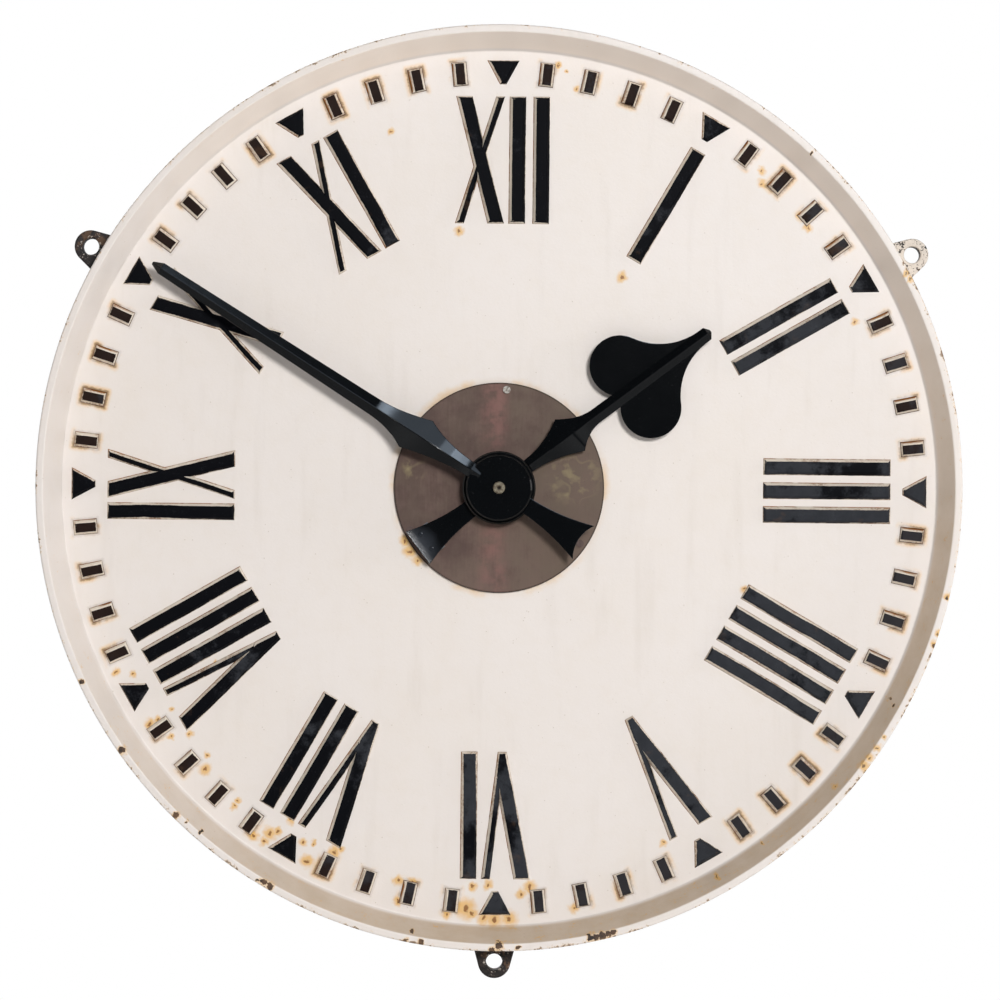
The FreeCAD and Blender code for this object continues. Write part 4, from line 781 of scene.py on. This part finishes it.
def relief_finish():
    """White slopes with painted shade on those facing down and left, rusty feet with painted shade in the
    crease, and black tops whose paint ends raggedly along the edge and turns slate grey, partly faded and
    partly a painted sheen.
    """
    finish = Finish("relief_paint")
    place = finish.place()
    x, y, z = finish.axes(place)
    towards = finish.axes(finish.node("ShaderNodeTexCoord", output="Normal"))
    rough = finish.noise(place, 90, 5, 0.65)
    fine = finish.noise(place, 520, 3)
    patchy = finish.step(finish.noise(place, 27, 3), 0.45, 0.63)
    colour = white_paint(finish, place)

    # Painted shade: slopes that face down and to the left are darkened, as if turned from the light
    shaded = finish.step(towards[0] * -0.8 + towards[2] * -0.6, -0.2, 0.5)
    colour = finish.mix(shaded * 0.12 + patchy * 0.15, colour, SPECK_AND_SHADE)
    colour = finish.mix(0.4, colour, CREAM)
    foot = finish.between(y + (fine - 0.5) * 0.0016, SLOPE_FOOT)
    slope = finish.between(y + (rough - 0.5) * 0.004, SLOPE)
    broken = finish.step(rough, 0.38, 0.60)
    # Brown at the foot: rust and dirt, with painted shade in the crease, stronger on slopes facing down and
    # left
    foot_dirt_and_shade = foot * (0.3 + 0.3 * shaded + 0.4 * patchy) * (0.4 + 0.6 * broken)
    colour = finish.mix(foot_dirt_and_shade, colour, BROWN)
    rust = finish.step(rough * 0.5 + fine * 0.5, 0.45, 0.58) * patchy
    colour = finish.mix(rust * 0.6, colour, RUST)

    # The minute track and which way its sides face
    radius = hypotenuse(x, z)
    minute = minute_at(x, z)
    from_hour = abs((minute / MINUTES_TO_HOUR).off_whole()) * radius * (MINUTE_STEP * MINUTES_TO_HOUR)
    across = minute.off_whole() * radius * MINUTE_STEP
    track = finish.between(radius, MINUTE_TRACK)
    triangle = track * finish.between(from_hour, TRIANGLE_HALF)
    bar = track * (1 - triangle)
    clockwise = (towards[0] * z - towards[2] * x) / radius
    outward = abs(towards[0] * x + towards[2] * z) / radius

    # The black has slipped to one side of each mark and left the other side to rust
    slip = (0.75 * z + 0.65 * x) / radius
    bare = finish.step(clockwise * slip, -0.1, -0.35)
    dashes = finish.step(finish.noise(place, 55, 3), 0.40, 0.52)
    rusting = finish.step(finish.noise(place, 16, 2) + 0.2 * z, 0.40, 0.52)
    orange = finish.mix(finish.step(rough, 0.42, 0.58), RUST, EDGE_RUST)
    colour = finish.mix(foot * bare * dashes * 0.9, colour, orange)
    colour = finish.mix(bar * slope * bare * rusting * (0.6 + 0.4 * dashes), colour, orange)
    # Dark rust along the foot of each bar, with painted crease shade in it
    colour = finish.mix(bar * foot * (0.3 + 0.5 * rusting), colour, DARK_RUST)
    drift = finish.axes(finish.drift(place, 9.0, 2.0))
    slipped = ((drift[0] - 0.5) * towards[0] + (drift[2] - 0.5) * towards[2]) * 0.011
    slipped = slipped + clockwise * slip * 0.0036 + outward * 0.0014
    ragged = (rough - 0.5) * 0.0024 + (fine - 0.5) * 0.0014
    covered = finish.between(ragged + slipped - y - 0.0003 * bar + 0.0012 * triangle, BLACK_EDGE)
    off_middle = abs(across - slip * 0.0009) + ragged * 0.4
    covered = covered * (1 - bar * finish.between(off_middle, BAR_BLACK_HALF))

    worn = finish.step(fine * 0.5 + rough * 0.5, 0.54, 0.70)
    # The black turns slate grey towards the right and lower down: partly faded paint, partly a painted
    # sheen
    faded_and_sheen = finish.step(finish.noise(place, 14, 6, 0.7) + 0.3 * x - 0.25 * z, 0.48, 0.60)
    black = finish.mix(worn * 0.2 + faded_and_sheen * (0.5 + 0.4 * rough), BLACK, SLATE_FADE_AND_SHEEN)
    black = finish.mix(bar * (1 - 0.55 * faded_and_sheen) * (0.4 + 0.5 * rough), black, BROWN_BLACK)
    blotches = finish.step(finish.noise(place, 48, 4) + ragged * 40, 0.63, 0.72)
    black = finish.mix(blotches * 0.15, black, BROWN)
    colour = finish.mix(covered, colour, black)
    height = fine * 0.4 + rough * 0.6 + covered * 0.3
    return finish.surface(Base_Color=colour, Roughness=0.44 + 0.1 * worn, Specular_IOR_Level=0.02,
                          Normal=finish.bump(height, 0.0005, 0.3))


def lug_finish():
    """Black rusty iron with what is left of its paint round the holes."""
    finish = Finish("lug_iron")
    place = finish.place()
    x, y, _ = finish.axes(place)
    flat = finish.flattened(place)
    rough = finish.noise(place, 140, 6, 0.7)
    fine = finish.noise(place, 620, 4)
    colour = finish.mix(finish.step(rough, 0.40, 0.62), BLACK_IRON, BARE_IRON)
    colour = finish.mix(finish.step(finish.noise(place, 75, 3), 0.53, 0.64) * 0.65, colour, BROWN)
    front = finish.between(y, LUG_FACE)
    holes = []
    for turn in LUG_TURNS:
        centre = about_axis(turn) @ Vector((0, 0, LUG_CIRCLE * MM))
        holes.append(finish.distance(flat, *centre))
    right = finish.between(x, LUG_RIGHT)
    edge = finish.between(least(holes), LUG_HOLE_EDGE) * front
    left_on = finish.step(rough * 0.55 + fine * 0.45 + 0.15 * right + 0.07 * edge, 0.60, 0.63)
    left_on = left_on * (front | 0.25)
    colour = finish.mix(left_on * (0.55 + 0.4 * right), colour, AGED_WHITE)
    return finish.surface(Base_Color=colour, Roughness=0.7, Specular_IOR_Level=0.3,
                          Normal=finish.bump(rough * 0.7 + fine * 0.3, 0.0018, 0.7))


def patina_finish():
    """Brown patina on sheet brass, with a red band down the middle, yellow scuffs and a dark edge."""
    finish = Finish("patinated_brass_plate")
    place = finish.place()
    x, _, z = finish.axes(place)
    radius = hypotenuse(x, z)
    rough = finish.noise(place, 32, 6, 0.6)
    grain = finish.noise(finish.stretched(place, 420, 420, 40), 1, 4)
    blotch = finish.step(finish.noise(place, 42, 5), 0.40, 0.62)
    worn = rough * 0.8 + grain * 0.2 + (x - z) * 0.8
    colour = finish.mix(finish.step(worn, 0.34, 0.66), PLATE_DARK, PLATE_LIGHT)
    greenish = finish.between(x + (rough - 0.5) * 0.16, GREEN_SIDE) * 0.5 + blotch * 0.35
    colour = finish.mix(greenish, colour, PLATE_GREEN)

    from_band = abs(x + RED_BAND_LEFT * MM + (rough - 0.5) * 0.02)
    band = finish.between(from_band, RED_BAND_HALF) * finish.between(abs(z), RED_BAND_GAP)
    spotty = finish.step(finish.noise(place, 75, 4), 0.34, 0.62)
    colour = finish.mix(band * (0.12 + 0.7 * spotty) * (0.7 + 0.3 * grain), colour, PLATE_RED)

    scuffed = 0
    for middle, limits in SCUFFS:
        away = finish.distance(place, *[length * MM for length in middle])
        scuffed = finish.between(away, limits) | scuffed
    lines = finish.step(abs(finish.noise(place, 34, 1) - 0.5), 0.030, 0.004)
    smears = finish.step(finish.noise(place, 70, 3), 0.50, 0.66)
    colour = finish.mix(scuffed * (lines * 0.2 + smears * 0.5), colour, PLATE_SCUFF)
    colour = finish.mix(finish.step(finish.cells(place, 260), 0.12, 0.05) * 0.3, colour, PLATE_EDGE)
    colour = finish.mix(finish.between(radius, PLATE_RIM) * 0.75, colour, PLATE_EDGE)
    height = grain * 0.2 + rough * 0.8
    return finish.surface(Base_Color=colour, Metallic=0.12, Roughness=0.46 + 0.2 * rough,
                          Specular_IOR_Level=0.08, Normal=finish.bump(height, 0.0003, 0.3))


def hand_finish():
    """Black paint with a gloss and faint scratches, and a grey patch at the end of the hour hand's tail
    that is partly worn paint and partly a painted highlight.
    """
    finish = Finish("hand_black")
    place = finish.place()
    rough = finish.noise(place, 45, 5)
    fine = finish.noise(finish.stretched(place, 500, 60, 500), 1, 4)
    scratch = finish.step(fine, 0.66, 0.74)
    colour = finish.mix(scratch * 0.35, GLOSS_BLACK, SCRATCH)
    # A grey patch at the end of the hour hand's tail: partly worn paint, partly a painted highlight
    x, z = -math.sin(HOUR_ANGLE) * CURL_END * MM, -math.cos(HOUR_ANGLE) * CURL_END * MM
    from_end = finish.distance(finish.flattened(place), x, 0, z)
    worn = finish.between(from_end + (rough - 0.5) * 0.02, TAIL_WEAR_AND_HIGHLIGHT)
    colour = finish.mix(worn * (0.1 + 0.5 * rough), colour, WORN_GREY_AND_HIGHLIGHT)
    height = rough * 0.7 + fine * 0.3
    return finish.surface(Base_Color=colour, Roughness=0.07 + 0.05 * rough + 0.10 * scratch,
                          Specular_IOR_Level=0.2, Normal=finish.bump(height, 0.00012, 0.2))


def metal_finish(name, bright, dull, roughness, metallic):
    """Turned or brushed metal with clouds of tarnish and fine marks."""
    finish = Finish(name)
    place = finish.place()
    clouds = finish.noise(place, 22, 5, 0.6)
    brushed = finish.noise(finish.stretched(place, 1100, 1100, 45), 1, 3)
    marks = finish.step(finish.cells(place, 240), 0.10, 0.04) * finish.step(clouds, 0.5, 0.6)
    tarnish = finish.step(clouds * 0.75 + brushed * 0.25, 0.30, 0.80)
    colour = finish.mix(tarnish, bright, dull)
    colour = finish.mix(marks * 0.5, colour, BROWN)
    return finish.surface(Base_Color=colour, Metallic=metallic,
                          Roughness=roughness + 0.2 * tarnish + 0.1 * brushed + 0.2 * marks,
                          Normal=finish.bump(brushed, 0.00008, 0.3))


def screw_finish():
    """Steel screw heads, grey at the top of the plate and as brown as it is lower down."""
    finish = Finish("dull_screws")
    place = finish.place()
    height = finish.axes(place)[2]
    rough = finish.noise(place, 300, 4)
    steel = finish.mix(finish.step(rough, 0.4, 0.65), SCREW_STEEL, SCREW_DULL)
    colour = finish.mix(finish.between(height, SCREW_TARNISH), steel, PLATE_DARK)
    return finish.surface(Base_Color=colour, Metallic=0.3, Roughness=0.5 + 0.2 * rough,
                          Specular_IOR_Level=0.3, Normal=finish.bump(rough, 0.0003, 0.4))


def arbor_finish():
    """Turned arbor gone dull, with brown in its centre."""
    finish = Finish("dull_arbor")
    place = finish.place()
    x, _, z = finish.axes(place)
    rough = finish.noise(place, 350, 4)
    colour = finish.mix(finish.step(rough, 0.35, 0.7), ARBOR_BRASS, ARBOR_DULL)
    centre = finish.between(hypotenuse(x, z) + (rough - 0.5) * 0.001, TURNING_CENTRE)
    colour = finish.mix(centre, colour, PLATE_EDGE)
    return finish.surface(Base_Color=colour, Metallic=0.35, Roughness=0.5 + 0.2 * rough,
                          Specular_IOR_Level=0.35, Normal=finish.bump(rough, 0.0004, 0.5))


def moulded_finish(name, main, other, roughness, grain):
    """Moulding, tape or rubber with an even grain."""
    finish = Finish(name)
    place = finish.place()
    rough = finish.noise(place, 60, 5)
    fine = finish.cells(place, grain)
    colour = finish.mix(finish.step(rough, 0.35, 0.7), main, other)
    return finish.surface(Base_Color=colour, Roughness=roughness + 0.15 * rough,
                          Normal=finish.bump(fine, 0.0002, 0.4))


# Dial

def dial_dish(finish):
    """The rim, its inner wall and the face, turned in one."""
    piece = turned("dial_dish", [
        (CENTRE_HOLE, FACE_FRONT, HOLE_ROUND),
        (WALL_FOOT, FACE_FRONT, FOOT_ROUND),
        (LIP_INNER, RIM_FRONT, LIP_ROUND),
        (LIP_OUTER, RIM_FRONT, LIP_ROUND),
        (RIM_RADIUS, 0, SKIRT_ROUND),
        (SKIRT_INNER, 0, SKIRT_ROUND),
        (SKIRT_INNER, FACE_BACK, BACK_ROUND),
        (CENTRE_HOLE, FACE_BACK, HOLE_ROUND),
    ], steps=288)
    return finished(piece, "dial", finish, ["dial_casting"])


def dial_relief(finish):
    """Raised numerals and minute marks, with softened edges."""
    piece = copy_of("dial_casting", "dial_relief")
    edit(piece)

    def kept(face):
        middle = face.calc_center_median()
        within = math.hypot(middle.x, middle.z) < RELIEF_REACH * MM
        return within and middle.y < (FACE_FRONT - HAIR) * MM

    choose(piece, "FACE", lambda face: not kept(face))
    bpy.ops.mesh.delete(type="FACE")
    bpy.ops.mesh.select_all(action="SELECT")
    bpy.ops.mesh.dissolve_limited(angle_limit=math.radians(1))

    def is_top(face):
        return face.normal.y < -0.99 and face.calc_center_median().y < (RELIEF_TOP + HAIR) * MM

    choose(piece, "EDGE", lambda edge: sum(is_top(face) for face in edge.link_faces) == 1)
    bpy.ops.mesh.bevel(offset=RELIEF_ROUND * MM, segments=2, affect="EDGES", clamp_overlap=True)
    choose(piece, "EDGE", lambda edge: edge.is_boundary)
    bpy.ops.mesh.extrude_edges_move(TRANSFORM_OT_translate={"value": (0, RELIEF_SINK * MM, 0)})
    bpy.ops.mesh.select_all(action="SELECT")
    bpy.ops.mesh.fill_holes(sides=0)
    close_up(piece)
    return finished(piece, "dial", finish, ["dial_casting"])


def dial_lugs(finish):
    """Three ears for the bolts, round at the end and spreading to the rim."""
    shoulder = LUG_END * math.cos(LUG_FLANK)
    shoulder_along = LUG_CIRCLE + LUG_END * math.sin(LUG_FLANK)
    root = RIM_RADIUS - LUG_SINK
    foot = shoulder + (shoulder_along - root) * math.tan(LUG_FLANK)
    flank = math.degrees(LUG_FLANK)
    outline = [(-foot, root), (foot, root)] + arc((0, LUG_CIRCLE), LUG_END, flank, 180 - flank, 24)
    ear = plate("dial_lug", outline, 0, LUG_DEPTH)
    bolt = plate("bolt", circle((0, LUG_CIRCLE), LUG_HOLE, 36), BOLT_PAST, LUG_DEPTH + 2 * BOLT_PAST)
    change(ear, "BOOLEAN", object=bolt, operation="DIFFERENCE", solver="EXACT")
    bpy.data.objects.remove(bolt)
    bevelled(ear, LUG_ROUND, segments=3, angle=40)
    piece = joined("dial_lugs", spread(ear, [about_axis(turn) for turn in LUG_TURNS]))
    return finished(piece, "dial", finish, ["dial_casting"])


def dial_back(finish):
    """Ring, ribs and bosses cast on the back of the dial."""
    root = FACE_BACK - BACK_SINK
    ring = [
        (CENTRE_HOLE, root, 0),
        (HUB_RING, root, 0),
        (HUB_RING, BOSS_SEAT, RING_ROUND),
        (CENTRE_HOLE, BOSS_SEAT, RING_ROUND),
    ]
    boss = [
        (POST_HOLE, root, 0),
        (POST_BOSS + POST_DRAFT, root, 0),
        (POST_BOSS, BOSS_SEAT, BOSS_ROUND),
        (POST_HOLE, BOSS_SEAT, POST_HOLE_ROUND),
    ]
    members = [turned("hub_ring", ring, steps=96)]
    members += [turned("post_boss", boss, steps=48, x=x, z=z) for x, z in POSTS]
    half = RIB_WIDTH / 2
    rib = block("rib", (-half, root, HUB_RING - RIB_SINK), (half, RIB_BACK, SKIRT_INNER + RIB_SINK))
    members += spread(bevelled(rib, RIB_ROUND), [about_axis(turn) for turn in RIB_TURNS])
    piece = joined("dial_back", members)
    return finished(piece, "dial", finish, ["dial_casting"])


# Hands, each made pointing at 12 and then turned to its place

def hand_middle(hub, root, tail_root, back):
    """The flat middle of a hand, under its boss."""
    reach, neck = root
    tail_reach, tail_neck = tail_root
    front = back - HAND_EDGE
    return [
        plate("hub", circle((0, 0), hub, 60), back, HAND_EDGE),
        block("blade_root", (-neck / 2, front, 0), (neck / 2, back, reach)),
        block("tail_root", (-tail_neck / 2, front, -tail_reach), (tail_neck / 2, back, 0)),
    ]


def kite_blade(name, start, root, shoulder, waist, point, back):
    """A ridged blade that widens to a kite's shoulders and draws in again towards its point."""
    kite = start + flare(root, shoulder)
    drawing_in = flare(waist, shoulder)[::-1]
    return ridged(name, kite + drawing_in[1:] + point, back)


def tail(root, end, hollow, back):
    """The flared tail of a hand, whose end is hollowed by an arc or straight."""
    right = [(width / 2, -along) for along, width in flare(root, end)]
    left = [(-x, z) for x, z in reversed(right)]
    close = []
    if hollow:
        reach, width = end
        half = width / 2
        radius = (half * half + hollow * hollow) / (2 * hollow)
        spread_angle = math.degrees(math.asin(half / radius))
        close = arc((0, hollow - reach - radius), radius, 90 - spread_angle, 90 + spread_angle, 12)[1:-1]
    return plate("tail", right + close + left, back, TAIL_THICKNESS)


def climbing(blade, root):
    """Lift the front of a blade over the edge of the boss and let its ridge die away on the boss's face."""
    for vertex in blade.data.vertices:
        along = vertex.co.z / MM
        if along > CLIMB_START or vertex.co.y > (MINUTE_BACK - HAND_EDGE / 2) * MM:
            continue
        is_ridge = abs(vertex.co.x) < HAIR * MM
        share = (CLIMB_START - along) / (CLIMB_START - root)
        rise = (RIDGE_CLIMB if is_ridge else EDGE_CLIMB) * share * share
        if along < root:
            rise = BOSS_RIDGE_RISE if is_ridge else BOSS_EDGE_RISE
        vertex.co.y -= rise * MM
    return blade


def skewed(blade, shoulder, amount):
    """Set one shoulder of a kite further out than the other, fading to nothing along the blade."""
    for vertex in blade.data.vertices:
        weight = max(0, 1 - abs(vertex.co.z / MM - shoulder) / SKEW_REACH)
        vertex.co.z += amount * weight * vertex.co.x
    return blade


def curled(end):
    """Bend the end of a flat tail slightly forwards."""
    edit(end)
    for share in range(CURL_CUTS):
        cut = CURL_START + (CURL_END - CURL_START) * share / CURL_CUTS
        bpy.ops.mesh.select_all(action="SELECT")
        bpy.ops.mesh.bisect(plane_co=(0, 0, -cut * MM), plane_no=(0, 0, 1))
    bpy.ops.object.mode_set(mode="OBJECT")
    for vertex in end.data.vertices:
        vertex.co.y -= curl_at(-vertex.co.z / MM) * MM
    return end


def curl_at(along):
    """How far the curl lifts the tail at a distance from the centre."""
    share = max(0, along - CURL_START) / (CURL_END - CURL_START)
    return CURL_RISE * share ** 3


def hung(name, members, angle, body, finish, node):
    """Make a hand of its members, with their edges broken, and turn it to its place."""
    for member in members:
        bevelled(member, HAND_BEVEL)
    piece = joined(name, members)
    piece.data.transform(Matrix.Rotation(angle, 4, "Y"))
    return finished(piece, body, finish, [node], HAND_SMOOTH)


def minute_hand(finish):
    """The long hand, whose blade climbs over its boss and whose tail ends in a fish's fork."""
    blade = kite_blade("blade", [BOSS_RIDGE_END], MINUTE_ROOT, MINUTE_SHOULDER, MINUTE_WAIST,
                       MINUTE_POINT, MINUTE_BACK)
    skewed(blade, MINUTE_SHOULDER[0], MINUTE_SKEW)
    members = hand_middle(MINUTE_HUB, MINUTE_ROOT, MINUTE_TAIL_ROOT, MINUTE_BACK)
    members.append(climbing(blade, MINUTE_ROOT[0]))
    members.append(tail(MINUTE_TAIL_ROOT, MINUTE_TAIL_END, MINUTE_TAIL_HOLLOW, MINUTE_BACK))
    return hung("minute_hand_black", members, MINUTE_ANGLE, "minute", finish, "minute_hand")


def spade():
    """The flat lobes of the hour hand, drawn in to the point by hollows that meet them smoothly."""
    reach = SPADE_HOLLOW_END - LOBE_ALONG
    drop = LOBE_ASIDE - SPADE_TIP_HALF
    hollow = (reach * reach + drop * drop - LOBE_RADIUS * LOBE_RADIUS) / (2 * (LOBE_RADIUS + drop))
    beside = SPADE_TIP_HALF + hollow
    notch = math.degrees(math.asin(LOBE_ASIDE / LOBE_RADIUS))
    meeting = math.degrees(math.atan2(reach, beside - LOBE_ASIDE))
    right = arc((LOBE_ASIDE, LOBE_ALONG), LOBE_RADIUS, -90 - notch, meeting, 40)
    right += arc((beside, SPADE_HOLLOW_END), hollow, 180 + meeting, 180, 14)[1:]
    right.append((SPADE_TIP_HALF, SPADE_END))
    left = [(-x, z) for x, z in reversed(right[1:])]
    return plate("spade", right + left, HOUR_BACK, HAND_EDGE)


def hour_hand(finish):
    """The short hand, with its rib over a spade and a tail that curls forwards."""
    rib = kite_blade("rib", [], HOUR_ROOT, HOUR_SHOULDER, HOUR_WAIST, HOUR_POINT, HOUR_BACK)
    skewed(rib, HOUR_SHOULDER[0], HOUR_SKEW)
    members = hand_middle(HOUR_HUB, HOUR_ROOT, HOUR_TAIL_ROOT, HOUR_BACK)
    members += [rib, spade()]
    members.append(curled(tail(HOUR_TAIL_ROOT, HOUR_TAIL_END, 0, HOUR_BACK)))
    return hung("hour_hand_black", members, HOUR_ANGLE, "hour", finish, "hour_hand")


def tail_rivets(finish):
    """Two rivets through the hour hand's tail, with domed heads seated on its curl."""
    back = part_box("hour_hand_rivets")[1][1] / MM
    seat = HOUR_BACK - TAIL_THICKNESS - curl_at(RIVET_ALONG)
    top = seat - RIVET_HEIGHT
    rivets = []
    for side in (-1, 1):
        rivets.append(turned("rivet", [
            (0, back, 0), (RIVET_SHANK, back, 0), (RIVET_SHANK, seat + RIVET_SINK, 0),
            (RIVET_HEAD, seat + RIVET_SINK, 0), (RIVET_HEAD, top, RIVET_HEIGHT), (0, top, 0)],
            24, side * RIVET_ASIDE, -RIVET_ALONG))
    piece = joined("tail_rivets", rivets)
    piece.data.transform(Matrix.Rotation(HOUR_ANGLE, 4, "Y"))
    return finished(piece, "hour", finish, ["hour_hand_rivets"])


# Movement

def coil_winding(finish):
    """The taped winding between the cheeks of the bobbin, each band of tape over the edge of the last."""
    low, high = [Vector(corner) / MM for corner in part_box("coil_wrap")]
    middle = (low + high) / 2
    half = high - middle
    corners = [(-half.x, -half.y), (half.x, -half.y), (half.x, half.y), (-half.x, half.y)]
    outline = rounded([(x * TAPE_TUCK, y * TAPE_TUCK, TAPE_CORNER) for x, y in corners])
    piece = drawn("coil_winding", [(x, y, low.z) for x, y in outline])
    edit(piece)
    band = (high.z - low.z) / TAPE_BANDS
    for index in range(TAPE_BANDS):
        for rise, spread_by in [(band * (1 - TAPE_STEP), 1 / TAPE_TUCK), (band * TAPE_STEP, TAPE_TUCK)]:
            bpy.ops.mesh.extrude_region_move(TRANSFORM_OT_translate={"value": (0, 0, rise * MM)})
            bpy.ops.transform.resize(value=(spread_by, spread_by, 1), center_override=(0, 0, 0))
    close_up(piece)
    piece.data.transform(Matrix.Translation((middle.x * MM, middle.y * MM, 0)))
    return finished(piece, "dial", finish, ["coil_wrap"])


# Stage

def ray_kinds(finish):
    """Whether a ray comes from the camera, from gloss or through glass, and so shows the background."""
    return [finish.node("ShaderNodeLightPath", None, None, name) for name in SEEN_RAYS]


def floor():
    """A pale floor that keeps the clock's shadow and fades into the white background."""
    bpy.ops.object.select_all(action="DESELECT")
    bpy.ops.mesh.primitive_circle_add(vertices=96, radius=FLOOR_RADIUS, fill_type="NGON",
                                      location=(0, 0, FLOOR_LEVEL))
    sheet = bpy.context.object
    sheet.name = "floor"
    paper = Finish("floor_paper")
    x, y, _ = paper.axes(paper.place())
    direct, gloss, glass = ray_kinds(paper)
    away = paper.step(hypotenuse(x, y), *FLOOR_FADE) * (direct | gloss | glass)
    glow = paper.node("ShaderNodeEmission", None, {"Color": PURE_WHITE, "Strength": 1.0})
    paper.surface(Base_Color=FLOOR_GREY, Roughness=0.9)
    matt = Shade(paper, paper.tree.nodes["Principled BSDF"].outputs[0])
    blend = paper.node("ShaderNodeMixShader", None, {0: away, 1: matt, 2: glow})
    paper.tree.links.new(blend.socket, paper.tree.nodes["Material Output"].inputs["Surface"])
    sheet.data.materials.append(paper.material)


def sky():
    """A white background that gives the clock only a little light."""
    world = bpy.data.worlds.new("studio")
    bpy.context.scene.world = world
    world.use_nodes = True
    white = Finish("studio", world.node_tree)
    direct, gloss, glass = ray_kinds(white)
    direction = white.axes(white.node("ShaderNodeTexCoord", output="Generated"))
    behind = white.step(direction[1], *SKY_BEHIND)
    shown = direct | ((gloss | glass) * (SKY_GLOSS + (1 - SKY_GLOSS) * behind))
    lit = (1 - (direct | gloss | glass)) * SKY_LIGHT
    background = world.node_tree.nodes["Background"]
    background.inputs["Color"].default_value = PURE_WHITE
    world.node_tree.links.new((shown + lit).socket, background.inputs["Strength"])


def lamps():
    """Soft light from the front and the right, and lamps that only the gloss shows."""
    for name, (aside, up, distance, size, power) in LAMPS.items():
        lamp = bpy.data.lights.new(name, "AREA")
        lamp.shape = "DISK"
        lamp.size = size
        lamp.energy = power
        light = bpy.data.objects.new(name, lamp)
        bpy.context.scene.collection.objects.link(light)
        if name in GLOSS_LAMPS:
            lamp.color = GLOSS_LIGHT
            light.visible_diffuse = False
        turn, tilt = math.radians(aside), math.radians(up)
        level = math.cos(tilt)
        towards = Vector((math.sin(turn) * level, -math.cos(turn) * level, math.sin(tilt)))
        light.location = towards * distance
        light.rotation_euler = towards.to_track_quat("Z", "Y").to_euler()


def camera():
    """The photograph's view, straight on and rolled as the dial is."""
    data = bpy.data.cameras.new("camera")
    view = bpy.data.objects.new("camera", data)
    bpy.context.scene.collection.objects.link(view)
    view.location = (0, -CAMERA_DISTANCE, 0)
    straight_on = Matrix.Rotation(math.radians(90), 3, "X")
    view.rotation_euler = (straight_on @ Matrix.Rotation(DIAL_ROLL, 3, "Z")).to_euler()
    frame_width = LIP_OUTER * MM * PHOTO_SIZE / LIP_IN_PHOTO
    data.lens = data.sensor_width * LIP_DISTANCE / frame_width
    data.shift_x = (PHOTO_SIZE / 2 - DIAL_CENTRE[0]) / PHOTO_SIZE
    data.shift_y = (DIAL_CENTRE[1] - PHOTO_SIZE / 2) / PHOTO_SIZE
    bpy.context.scene.camera = view


def dress_nodes():
    """Give the CAD nodes that stay in sight their materials."""
    finishes = {"patinated_brass": patina_finish(), "black_paint": hand_finish()}
    for slot, look in METALS.items():
        finishes[slot] = metal_finish(*look)
    for slot, look in MOULDINGS.items():
        finishes[slot] = moulded_finish(slot, *look)
    own = {"centre_plate_screws": screw_finish(), "minute_arbor": arbor_finish()}
    for subpart in frame["record"]["subparts"]:
        name, slot = subpart["node"], subpart["material_slot"]
        if slot in finishes:
            node = frame["nodes"][name]
            node.data.materials.clear()
            node.data.materials.append(own.get(name, finishes[slot]))
    return finishes


def build():
    finishes = dress_nodes()
    dial_dish(dish_finish())
    dial_relief(relief_finish())
    dial_lugs(lug_finish())
    dial_back(iron_finish())
    minute_hand(finishes["black_paint"])
    hour_hand(finishes["black_paint"])
    tail_rivets(finishes["black_paint"])
    coil_winding(finishes["coil_tape"])
    floor()
    sky()
    lamps()
    camera()
    bpy.context.scene.view_settings.view_transform = "Standard"


build()
